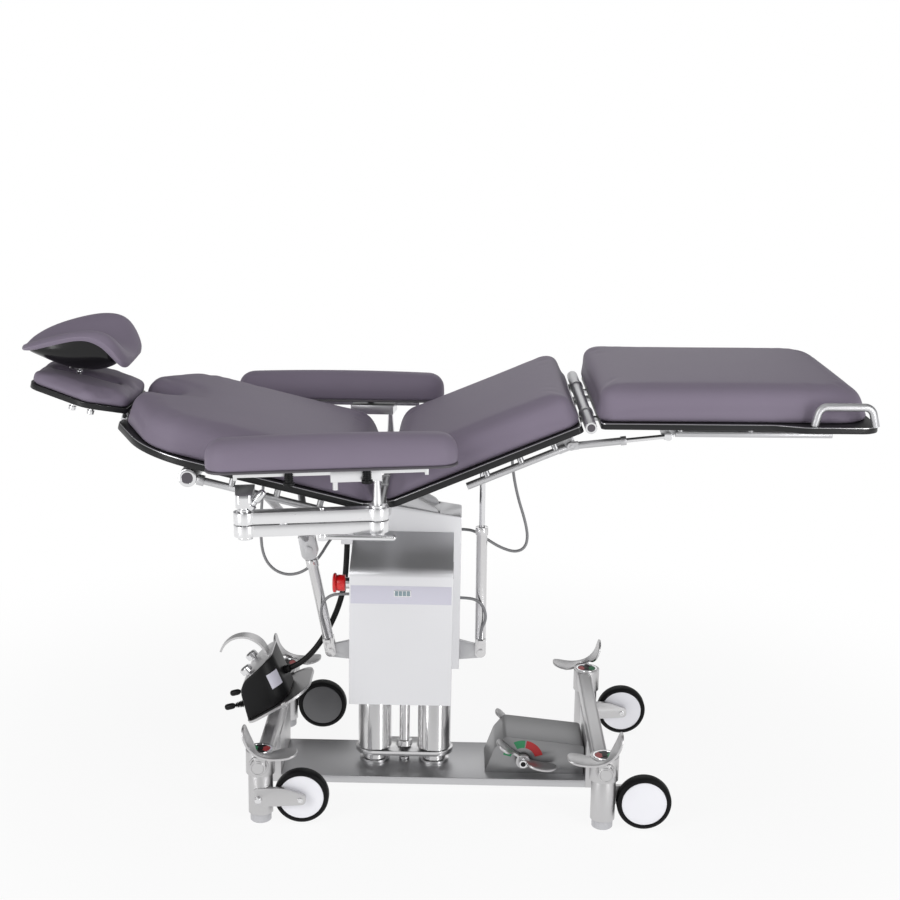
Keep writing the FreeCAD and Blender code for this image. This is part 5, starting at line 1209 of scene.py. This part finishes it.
@dataclass
class RunningGear:
    """Castors, end frames, brakes, floor feet and the base plate."""

    tyre: Profile = (
        (51, -13), (53.5, -16), (57, -16), (61, -13), (62.5, -8), (62.5, 8), (61, 13), (57, 16), (53.5, 16),
        (51, 13))
    cover: Profile = (
        (0, 18.7), (10, 18.5), (30, 16.7), (50.2, 13.7), (50.6, 14.0), (46, 15.1), (30, 17.5), (12, 19.3),
        (0, 19.5))
    disc: Profile = (
        (6.2, -11), (20, -12), (46, -13.4), (50.9, -13.6), (50.9, 13.6), (46, 13.4), (20, 12), (6.2, 11))
    arm_bolt: Profile = ((0.0, 0.005), (0.0075, 0.005), (0.0075, 0.0075), (0.006, 0.009), (0.0, 0.0094))
    hub_cap: Profile = (
        (0.0, 0.0), (0.0178, 0.0), (0.018, 0.0005), (0.018, 0.0165), (0.0165, 0.018), (0.0145, 0.018),
        (0.0138, 0.0172), (0.0130, 0.018), (0.0, 0.0182))
    hub_ring: Profile = (
        (0.0186, -0.0005), (0.0225, -0.0005), (0.0225, 0.0042), (0.0218, 0.005), (0.0186, 0.005))
    mark: Profile = ((0.007, 0.0), (0.022, 0.0), (0.022, 0.0006), (0.007, 0.0006))
    mark_middle: Profile = ((0.0, 0.0012), (0.0065, 0.0012), (0.0065, 0.0), (0.0, 0.0))
    mark_rim: Profile = ((0.0222, 0.0), (0.027, 0.0), (0.0262, 0.0016), (0.0232, 0.0016))
    mark_half: float = 0.9
    shaft_radius: float = 0.008
    pedal_rise: float = 0.014

    def build(self) -> None:
        """Build the running gear from the wheels up."""
        for end, x in COLUMN_X.items():
            for side, y in (("near", -TRACK), ("far", TRACK)):
                self.wheel(f"{end}_{side}", x + TRAIL, y)
                self.swivel(f"{end}_{side}")
            softened(f"{end}_floor_feet", [PALE_FOOT], 0.8 * MM)
            self.brake(end, x)
            self.marks(end, x)
        softened("base_plate", [SATIN], 1.2 * MM)
        softened("end_frames", [BLASTED], 1.0 * MM)

    def wheel(self, name: str, x: float, y: float) -> None:
        """Build a wheel: a black tyre on a pale dished disc with a hub cap; the head-far wheel's disc is
        darker, painted shade for the shadow it sits in.

        Args:
            name: The castor's end and side.
            x: The axle's place along the table.
            y: Its place across.
        """
        bm = bmesh.new()
        place = axis_frame((x, y, WHEEL_RADIUS), (0, 1, 0))
        outside = axis_frame((x, y, WHEEL_RADIUS), (0, -FORK_SIDE[name], 0))
        for rows, at, number, closed in (
            (self.tyre, place, 0, True), (self.disc, place, 1, True), (self.cover, outside, 1, False)
        ):
            turned(bm, [(r * MM, t * MM) for r, t in rows], at, number, 72, closed)
        # Painted shade: only the head-far wheel gets the darker disc, for the shadow it stands in.
        disc = SHADED_WHEEL_DISC if name == "head_far" else DISC
        finish_piece(f"castor_wheel_{name}_piece", bm, [TYRE, disc], f"wheel_{name}",
                     [f"castor_wheel_{name}"])

    def swivel(self, name: str) -> None:
        """Dress a castor's column and arm, and add the arm's bolt and the axle's screw.

        Args:
            name: The castor's end and side.
        """
        softened(f"castor_swivel_{name}", [BLASTED], 0.8 * MM)
        end, side = name.split("_")
        x, y = COLUMN_X[end], -TRACK if side == "near" else TRACK
        out = FORK_SIDE[name]
        face = y + out * (WHEEL_HALF + FORK_GAP + FORK_THICK)
        bm = bmesh.new()
        screw(bm, axis_frame((x + TRAIL, face, WHEEL_RADIUS), (0, out, 0)), 0.006, 0.002)
        turned(bm, self.arm_bolt, axis_frame((x - 0.002, face, WHEEL_RADIUS), (0, out, 0)))
        finish_piece(f"castor_screws_{name}", bm, [CHROME], f"castor_{name}")

    def brake(self, end: str, x: float) -> None:
        """Build a brake shaft with its two bent rockers and hub caps.

        Args:
            end: head or foot.
            x: The shaft's place along the table.
        """
        bm = bmesh.new()
        lean = 1.0 if end == "head" else -1.0
        reach, level = SLEEVE_FACE + HUB_THICK, BRAKE_Z + self.pedal_rise
        r, half = self.shaft_radius, SLEEVE_FACE
        shaft = [(0.0, -half), (r, -half), (r, half), (0.0, half)]
        turned(bm, shaft, axis_frame((x, 0, BRAKE_Z), (0, 1, 0)), 0, 32)
        for out in (-1.0, 1.0):
            BRAKE_PADDLE.add(bm, Vector((x, out * reach, level)), lean, -out)
            hub = axis_frame((x, out * SLEEVE_FACE, BRAKE_Z), (0, out, 0))
            turned(bm, self.hub_cap, hub, 0, 48)
            turned(bm, self.hub_ring, hub, 0, 48, True)
            block = Matrix.Translation((x + lean * 0.004, out * (SLEEVE_FACE + 0.009), level))
            panel(bm, (0.026, 0.014, 0.022), block, 0.002)
        finish_piece(f"{end}_brake_piece", bm, [BLASTED], f"{end}_brake", [f"{end}_brake_pedals"])

    def marks(self, end: str, x: float) -> None:
        """Cap the columns with red and green position marks in a bright rim.

        Args:
            end: head or foot.
            x: The columns' place along the table.
        """
        inward = 0.0 if end == "head" else math.pi
        wide, half_turn = 2 * self.mark_half, math.pi
        sectors = ((-self.mark_half, wide, 0), (half_turn - self.mark_half, wide, 1),
                   (self.mark_half, half_turn - wide, 2), (half_turn + self.mark_half, half_turn - wide, 2))
        for side, y in (("near", -TRACK), ("far", TRACK)):
            bm = bmesh.new()
            top = Matrix.Translation((x, y, SLEEVE_TOP))
            for start, turn, number in sectors:
                turned(bm, self.mark, top @ Matrix.Rotation(start + inward, 4, "Z"), number, 14, True, turn)
            turned(bm, self.mark_middle, top, 2, 24)
            turned(bm, self.mark_rim, top, 3, 48, True)
            finish_piece(f"brake_mark_{end}_{side}", bm, [RED_MARK, GREEN, BLACK, CHROME], "base")


@dataclass
class PedalUnit:
    """The central pedal's housing with its marks and rocker."""

    axle: Point = (0.219, 0.0, 0.068)
    side_y: float = 0.070
    hub_y: float = 0.074
    end_y: float = 0.094
    shaft_radius: float = 0.008
    hub: Profile = (
        (0.009, 0.0), (0.0165, 0.0), (0.017, 0.0006), (0.017, 0.011), (0.0158, 0.012), (0.009, 0.012))
    mark: Profile = ((0.030, -0.0004), (0.049, -0.0004), (0.049, 0.0006), (0.030, 0.0006))
    sectors: Sequence[tuple[int, int, int]] = ((16, 80, 0), (84, 118, 1), (140, 166, 1))
    end_ring: Profile = ((0.0062, 0.0), (0.0105, 0.0), (0.0105, 0.003), (0.0095, 0.0042), (0.0062, 0.0042))
    end_plug: Profile = ((0.0, 0.0), (0.0061, 0.0), (0.0061, 0.0034), (0.0, 0.0034))

    def build(self) -> None:
        """Dress the housing and the pedal."""
        softened("pedal_housing", [GREY_STEEL], 4.0 * MM)
        self.pedal()
        self.marks()
        self.axle_ends()

    def pedal(self) -> None:
        """Build the axle with a bent rocker and hub on each side."""
        bm = bmesh.new()
        r, half, axle = self.shaft_radius, self.end_y, Vector(self.axle)
        turned(bm, [(0.0, -half), (r, -half), (r, half), (0.0, half)], axis_frame(axle, (0, 1, 0)), 0, 32)
        for out in (-1.0, 1.0):
            CENTRAL_PADDLE.add(bm, axle + Vector((0, out * self.hub_y, 0.004)), 1.0, out)
            turned(bm, self.hub, axis_frame(axle + Vector((0, out * self.hub_y, 0)), (0, out, 0)), 0, 40,
                   True)
        finish_piece("central_pedal_piece", bm, [BLASTED], "central_pedal", ["central_pedal"])

    def marks(self) -> None:
        """Lay the red and green sectors round the axle on both sides."""
        x, _, z = self.axle
        for side, out in (("near", -1), ("far", 1)):
            bm = bmesh.new()
            turn = Matrix(((-out, 0, 0), (0, 0, out), (0, 1, 0))).to_4x4()
            face = Matrix.Translation((x, out * self.side_y, z)) @ turn
            for start, stop, number in self.sectors:
                begin = math.radians(start if out < 0 else 180 - stop)
                place = face @ Matrix.Rotation(begin, 4, "Z")
                turned(bm, self.mark, place, number, 20, True, math.radians(stop - start))
            finish_piece(f"pedal_marks_{side}", bm, [RED_MARK, GREEN], "base")

    def axle_ends(self) -> None:
        """Cap the axle with a bright ring round a black plug."""
        bm = bmesh.new()
        x, _, z = self.axle
        for out in (-1, 1):
            place = axis_frame((x, out * self.end_y, z), (0, out, 0))
            turned(bm, self.end_ring, place, 0, 32, True)
            turned(bm, self.end_plug, place, 1, 32)
        finish_piece("pedal_axle_caps", bm, [CHROME, BLACK], "central_pedal")


CONTROL_TILT = math.radians(31)
CONTROL_CORNER = Vector((-0.438, 0.0, 0.152))
CONTROL_SIDE = ((0.002, 0.005), (0.116, 0.005), (0.130, 0.114), (0.028, 0.092))


def control_frame() -> Matrix:
    """Return the frame of the foot control's sloping plate."""
    return Matrix.Translation(CONTROL_CORNER) @ Matrix.Rotation(-CONTROL_TILT, 4, "Y")


def control_face(number: int, share: float, y: float) -> Matrix:
    """Work out a frame on one side of the foot control's box, Z outwards.

    Args:
        number: The side, counted as the box's corners are.
        share: How far along that side.
        y: How far across.

    Returns:
        The frame.
    """
    (u0, w0), (u1, w1) = CONTROL_SIDE[number], CONTROL_SIDE[(number + 1) % 4]
    frame_at = control_frame()
    a, b = frame_at @ Vector((u0, y, w0)), frame_at @ Vector((u1, y, w1))
    run = b - a
    return axis_frame(a + run * share, (run.z, 0.0, -run.x))


@dataclass
class FootControl:
    """The hung foot control: black box, silver face and plate, knobs and sticks."""

    case_half: float = 0.082
    corner: float = 0.048
    brow: float = 0.028
    rim: float = 0.005
    plate_half: float = 0.100
    plate_long: float = 0.170
    plate_thick: float = 0.006
    bail_at: Point = (-0.458, 0.0, 0.285)
    bail_radius: float = 0.061
    bail_thick: float = 0.005
    bail_half: float = 0.020
    bail_sweep: float = math.radians(163)
    gland: Profile = (
        (0.0, -0.002), (0.0098, -0.002), (0.010, 0.0), (0.010, 0.006), (0.0085, 0.0065), (0.0085, 0.0075),
        (0.010, 0.008), (0.0092, 0.0135), (0.0085, 0.014), (0.0, 0.014))
    knob_y: float = 0.050
    knob: Profile = (
        (0.0, -0.010), (0.007, -0.010), (0.007, 0.005), (0.0145, 0.005), (0.015, 0.0055), (0.015, 0.017),
        (0.014, 0.0185), (0.0115, 0.019), (0.0108, 0.0165), (0.0, 0.0165))
    knob_top: Profile = ((0.0, 0.0166), (0.0106, 0.0166), (0.010, 0.0182), (0.0, 0.0188))
    stick_y: float = 0.045
    stick_foot: Profile = ((0.0, -0.006), (0.0042, -0.0043), (0.006, 0.0))
    stick_grip: Profile = (
        (0.0045, 0.0225), (0.0068, 0.026), (0.0075, 0.031), (0.0075, 0.0405), (0.0066, 0.045),
        (0.0038, 0.0474), (0.0, 0.048))

    def build(self) -> None:
        """Build the box on its plate, then its controls."""
        bm = bmesh.new()
        self.case(bm)
        self.plate(bm)
        self.bail(bm)
        self.holder(bm)
        finish_piece("control_housing_piece", bm, [BLACK, BLASTED], "base", ["control_housing"])
        self.knobs()
        self.sticks()
        self.trim()

    def case(self, bm: BMesh) -> None:
        """Add the black box with its silver top and front.

        Args:
            bm: The mesh to add to.
        """
        known = set(bm.faces)
        side = bm.faces.new([bm.verts.new((u, -self.case_half, w)) for u, w in CONTROL_SIDE])
        raise_faces(bm, [side], (0, 2 * self.case_half, 0))
        fresh = added(bm, known)
        bmesh.ops.recalc_face_normals(bm, faces=fresh)
        edges = list({e for f in fresh for e in f.edges})
        level = [e for e in edges if abs(e.verts[0].co.y - e.verts[1].co.y) < 0.01]
        upright = [e for e in level if min(v.co.x for v in e.verts) > 0.1]
        brow = [e for e in edges if e not in level and all(v.co.x < 0.1 and v.co.z > 0.05 for v in e.verts)]
        for chosen, reach in ((upright, self.corner), (brow, self.brow)):
            round_off(bm, chosen, reach, 10)
        limit = math.radians(50)
        rims = [e for e in {e for f in added(bm, known) for e in f.edges} if e.calc_face_angle(0.0) > limit]
        round_off(bm, rims, self.rim, 3)
        fresh = added(bm, known)
        shown = [self.outward(2), self.outward(3)]
        for face in fresh:
            silver = abs(face.normal.y) < 0.5 and max(face.normal.dot(n) for n in shown) > 0.5
            face.material_index = int(silver)
        bmesh.ops.transform(bm, matrix=control_frame(), verts=points_of(fresh))

    def outward(self, number: int) -> Vector:
        """Return the way one side of the box faces, before the box is tilted."""
        (u0, w0), (u1, w1) = CONTROL_SIDE[number], CONTROL_SIDE[(number + 1) % 4]
        return Vector((w1 - w0, 0.0, u0 - u1)).normalized()

    def plate(self, bm: BMesh) -> None:
        """Add the silver plate with its round end and a raised rim.

        Args:
            bm: The mesh to add to.
        """
        known = set(bm.faces)
        h, l = self.plate_half, self.plate_long
        corners = (((0.0, -h, 0.0), 0.030), ((l, -h, 0.0), 0.064), ((l, h, 0.0), 0.064),
                   ((0.0, h, 0.0), 0.030))
        verts = [bm.verts.new(c) for c, _ in corners]
        bm.faces.new(verts)
        for vert, (_, radius) in zip(verts, corners):
            round_off(bm, [vert], radius, 10, False, "VERTICES")
        raise_faces(bm, added(bm, known), (0, 0, self.plate_thick))
        fresh = added(bm, known)
        bmesh.ops.recalc_face_normals(bm, faces=fresh)
        lid = max(fresh, key=lambda f: f.calc_center_median().z)
        for rim, drop in ((0.0025, 0.0), (0.001, -0.0015)):
            bmesh.ops.inset_region(bm, faces=[lid], thickness=rim, depth=drop, use_even_offset=True)
        fresh = added(bm, known)
        for face in fresh:
            face.material_index = 1
        bmesh.ops.transform(bm, matrix=control_frame(), verts=points_of(fresh))

    def bail(self, bm: BMesh) -> None:
        """Add the curved bail, which narrows to its tip.

        Args:
            bm: The mesh to add to.
        """
        known = set(bm.verts)
        r, t, h = self.bail_radius, self.bail_thick, self.bail_half
        x, _, z = self.bail_at
        ring = [(r - t, -h), (r, -h), (r, h), (r - t, h)]
        turned(bm, ring, axis_frame(self.bail_at, (0, -1, 0)), 1, 44, True, self.bail_sweep)
        for vert in bm.verts:
            if vert not in known:
                angle = math.atan2(vert.co.z - z, vert.co.x - x)
                vert.co.y *= 0.35 + 0.65 * min(1.0, (1 - angle / self.bail_sweep) * 1.6)

    def holder(self, bm: BMesh) -> None:
        """Add the bracket down to the crossbar and the cable's gland."""
        panel(bm, (0.033, 0.058, 0.040), Matrix.Translation((-0.377, 0.0, 0.183)), 0.003, 1)
        turned(bm, self.gland, control_face(1, 0.42, 0.0), 0, 32)

    def knobs(self) -> None:
        """Build the two chromed push knobs with black tops."""
        for name, y in (("near", -self.knob_y), ("far", self.knob_y)):
            bm = bmesh.new()
            place = control_face(2, 0.7, y)
            turned(bm, self.knob, place, 0, 40)
            turned(bm, self.knob_top, place, 1, 40)
            finish_piece(f"knob_{name}_piece", bm, [CHROME, BLACK], f"knob_{name}", [f"knob_{name}"])

    def sticks(self) -> None:
        """Build the two sticks with their ribbed bellows and grips."""
        bellows = []
        for rib in range(5):
            d, r = 0.002 + rib * 0.0038, 0.0086 - rib * 0.0006
            bellows += [(r - 0.004, d), (r, d + 0.0010), (r, d + 0.0020), (r - 0.004, d + 0.0030)]
        for name, y in (("near", -self.stick_y), ("far", self.stick_y)):
            bm = bmesh.new()
            place = control_face(3, 0.64, y) @ Matrix.Translation((0, 0, 0.0063))
            turned(bm, [*self.stick_foot, *bellows, *self.stick_grip], place, 0, 28)
            finish_piece(f"joystick_{name}_piece", bm, [BLACK], f"joystick_{name}", [f"joystick_{name}"],
                         50.0)

    def trim(self) -> None:
        """Add the plate's rim clips and the bare plate on the box's round corner."""
        bm = bmesh.new()
        at = control_frame()
        r, back = self.corner, self.outward(1)
        along = Vector((-back.z, 0.0, back.x))
        u, w = CONTROL_SIDE[1]
        centre = Vector((u, r - self.case_half, w)) - back * r
        turn = Matrix((back, (0, 1, 0), along)).transposed().to_4x4()
        place = at @ Matrix.Translation(centre) @ turn @ Matrix.Rotation(math.radians(-65), 4, "Z")
        rows = [(r - 0.001, 0.036), (r + 0.0007, 0.036), (r + 0.0007, 0.073), (r - 0.001, 0.073)]
        turned(bm, rows, place, 0, 12, True, math.radians(40))
        for y in (-self.plate_half, self.plate_half):
            panel(bm, (0.011, 0.006, 0.013), at @ Matrix.Translation((0.104, y, 0.003)), 0.001, 1)
        finish_piece("foot_control_trim", bm, [STRIP, BLASTED], "base")


@dataclass
class Carriage:
    """The lift tubes, cabinet, stop button, power unit and carriage frame."""

    cover_x: tuple[float, float] = (-0.191, 0.044)
    cover_y: float = -0.1903
    strip_z: float = 0.5155
    display_at: tuple[float, float] = (-0.0705, 0.5195)
    cells: int = 4
    cell_pitch: float = 0.009
    latch_at: tuple[float, float] = (-0.125, 0.556)
    stop_at: tuple[float, float] = (-0.118, 0.519)
    stem: Profile = ((0.0, -0.012), (0.013, -0.012), (0.013, 0.012), (0.0125, 0.014), (0.0, 0.014))
    button: Profile = (
        (0.0, 0.0141), (0.0175, 0.0141), (0.019, 0.0155), (0.019, 0.030), (0.0178, 0.0335), (0.0205, 0.0345),
        (0.0227, 0.0362), (0.023, 0.0388), (0.0222, 0.0412), (0.018, 0.0432), (0.010, 0.044), (0.0, 0.0442))

    def build(self) -> None:
        """Dress the column and the cabinet."""
        for node, finish, ease in (
            ("lift_columns", SATIN_Z, 0.6), ("lift_outer_tubes", SATIN_Z, 1.0), ("front_cover", CABINET, 1.2),
            ("rear_housing", CABINET, 1.6), ("carriage_frame", SATIN, 1.0), ("hydraulic_unit", INNER, 2.0),
        ):
            softened(node, [finish], ease * MM)
        self.strip()
        self.stop_button()

    def strip(self) -> None:
        """Lay a bare strip with a small blank display across the cover's front, and a thin black strip on the
        cover's end as painted shade for a latch slot.
        """
        bm = bmesh.new()
        x0, x1 = self.cover_x
        x, z = self.display_at
        strip = Matrix.Translation(((x0 + x1) / 2, self.cover_y, self.strip_z))
        panel(bm, (x1 - x0 - 0.006, 0.0006, 0.043), strip, 0.0002, 0)
        panel(bm, (0.039, 0.0008, 0.016), Matrix.Translation((x, self.cover_y - 0.0004, z)), 0.0002, 1)
        for cell in range(self.cells):
            shift = (cell - (self.cells - 1) / 2) * self.cell_pitch
            window = Matrix.Translation((x + shift, self.cover_y - 0.0006, z))
            panel(bm, (0.0076, 0.0008, 0.0115), window, 0.0002, 2)
        # Painted shade: a thin black strip stands in for the shaded opening of a latch slot; nothing is cut.
        panel(bm, (0.0012, 0.006, 0.040), Matrix.Translation((x1, *self.latch_at)), 0.0004, 3)
        finish_piece("cover_strip", bm, [STRIP, CHROME, DISPLAY, BLACK], "carriage")

    def stop_button(self) -> None:
        """Build the red stop button on its bright stem."""
        bm = bmesh.new()
        place = axis_frame((self.cover_x[0], *self.stop_at), (-1, 0, 0))
        turned(bm, self.stem, place, 0, 40)
        turned(bm, self.button, place, 1, 48)
        finish_piece("emergency_stop_piece", bm, [CHROME, RED], "emergency_stop", ["emergency_stop"])


@dataclass
class Linkage:
    """The back, seat and leg cylinders, and the fittings they work on."""

    plug_rows: Sequence[tuple[str, str, tuple[float, float], float, float]] = (
        ("cross_tube_plugs", "back", (-0.53594, 0.80466), 0.290, 0.020),
        ("leg_hinge_plugs", "seat", (0.332394, 0.936746), 0.311, 0.013))
    plug_ring: Profile = ((0.62, 0.0), (0.97, 0.0), (0.97, 0.0006), (0.9, 0.0014), (0.66, 0.0014),
                          (0.62, 0.0008))
    plug: Profile = ((0.0, 0.0), (0.615, 0.0), (0.6, 0.001), (0.0, 0.0013))

    def build(self) -> None:
        """Dress barrels, rods and the fittings of the three sections."""
        for name in ("back", "seat"):
            softened(f"{name}_barrel", [SATIN_Z], 0.5 * MM)
            softened(f"{name}_rod", [CHROME], 0.5 * MM)
        softened("leg_barrels", [SATIN], 0.6 * MM)
        softened("leg_rods", [CHROME], 0.4 * MM)
        for name in ("seat", "leg"):
            softened(f"{name}_fittings", [SATIN], 0.9 * MM)
        softened("back_fittings", [SATIN, CHROME], 0.9 * MM, self.on_clamp)
        self.plugs()

    @staticmethod
    def on_clamp(face: BMFace) -> int:
        """Tell the armrests' clamp blocks and posts from the rest of the back's fittings."""
        middle = face.calc_center_median()
        return int(abs(middle.y) > 0.312 and abs(middle.x - ARM_HEAD.x) < 0.04)

    def plugs(self) -> None:
        """Close the ends of the cross tube and the leg hinge with mauve plugs."""
        for name, body, (x, z), reach, radius in self.plug_rows:
            bm = bmesh.new()
            for out in (-1, 1):
                place = axis_frame((x, out * reach, z), (0, out, 0))
                turned(bm, [(share * radius, d) for share, d in self.plug_ring], place, 0, 40, True)
                turned(bm, [(share * radius, d) for share, d in self.plug], place, 1, 40)
            finish_piece(name, bm, [CHROME, PLUG], body)


@dataclass
class Armrests:
    """Clamp arms, levers, posts and rails on both sides."""

    knob_us: Sequence[float] = (-0.187, -0.024)
    knob_out: float = 0.030
    rib_levels: Sequence[float] = (0.083, 0.087, 0.091, 0.095)
    rib: Profile = ((0.0078, 0.0), (0.0096, 0.0006), (0.0096, 0.0016), (0.0078, 0.0022))
    grip_foot: Point = (0.012, -0.004, 0.007)
    grip_lean: Point = (0.62, -0.10, 0.78)
    grip_rows: Profile = (
        (0.0, 0.0), (0.0095, 0.0), (0.0095, 0.010), (0.0055, 0.013), (0.0055, 0.020), (0.0085, 0.023),
        (0.0095, 0.034), (0.0085, 0.046), (0.0060, 0.0495), (0.0, 0.0505))
    welt_run: tuple[float, float] = (-0.3615, 0.1705)
    welt_half: float = 0.0445
    welt_corner: float = 0.040
    welt_floor: float = 0.102
    welt_thick: float = 0.006
    welt_ease: float = 0.0026

    def build(self) -> None:
        """Dress both sides."""
        for side in ("near", "far"):
            softened(f"arm_plates_{side}", [BRIGHT], 2.2 * MM)
            softened(f"clamp_lever_{side}", [CHROME], 0.6 * MM)
            softened(f"arm_post_{side}", [BRIGHT], 0.5 * MM)
            local = arm_matrix(side).inverted()
            softened(f"armrest_rail_{side}", [BRIGHT, BLACK], 0.6 * MM,
                     lambda f, local=local: int((local @ f.calc_center_median()).y < -REST_OFFSET - 0.0125))
            self.piping(side)
            self.ribs(side)
            self.grip(side)

    def grip(self, side: str) -> None:
        """Stand a tilted clamp lever with its thick grip at the arm's first post.

        Args:
            side: near or far.
        """
        bm = bmesh.new()
        at = arm_matrix(side)
        place = axis_frame(at @ Vector(self.grip_foot), (at.to_3x3() @ Vector(self.grip_lean)).normalized())
        turned(bm, self.grip_rows, place, 0, 32)
        finish_piece(f"arm_clamp_grip_{side}", bm, [CHROME], "back")

    def ribs(self, side: str) -> None:
        """Ring the two clamp knobs of a rail with moulded ribs.

        Args:
            side: near or far.
        """
        bm = bmesh.new()
        for u in self.knob_us:
            for level in self.rib_levels:
                spot = (ARM_REACH + REST_SLIDE[side] + u, -REST_OFFSET - self.knob_out, level)
                turned(bm, self.rib, arm_matrix(side) @ Matrix.Translation(spot), 0, 28, True)
        bmesh.ops.recalc_face_normals(bm, faces=bm.faces)
        finish_piece(f"armrest_knob_ribs_{side}", bm, [BLACK], f"armrest_{side}")

    def piping(self, side: str) -> None:
        """Run a welt round the lower edge of a pad, over a thin tray.

        Args:
            side: near or far.
        """
        slide = REST_SLIDE[side] + ARM_REACH
        place = arm_matrix(side) @ Matrix.Translation((slide, -REST_OFFSET, self.welt_floor))
        bm = bmesh.new()
        (u0, u1), half = self.welt_run, self.welt_half
        verts = [bm.verts.new(c) for c in ((u0, half, 0), (u1, half, 0), (u1, -half, 0), (u0, -half, 0))]
        bm.faces.new(verts)
        round_off(bm, verts, self.welt_corner, 10, False, "VERTICES")
        raise_faces(bm, list(bm.faces), (0, 0, self.welt_thick))
        bmesh.ops.recalc_face_normals(bm, faces=bm.faces)
        round_off(bm, level_edges(bm), self.welt_ease, 3, False)
        bmesh.ops.transform(bm, matrix=place, verts=bm.verts)
        bmesh.ops.recalc_face_normals(bm, faces=bm.faces)
        finish_piece(f"armrest_welt_{side}", bm, [PLUG], f"armrest_{side}")


def main() -> None:
    """Build the studio and the table; each piece logs its face count as it is made."""
    logging.basicConfig(level=logging.INFO, format="%(message)s")
    Studio().build()
    Lines().build()
    for assembly in (
        Upholstery, Boards, Headrest, RunningGear, PedalUnit, FootControl, Carriage, Linkage, Armrests
    ):
        assembly().build()


if __name__ == "__main__":
    main()
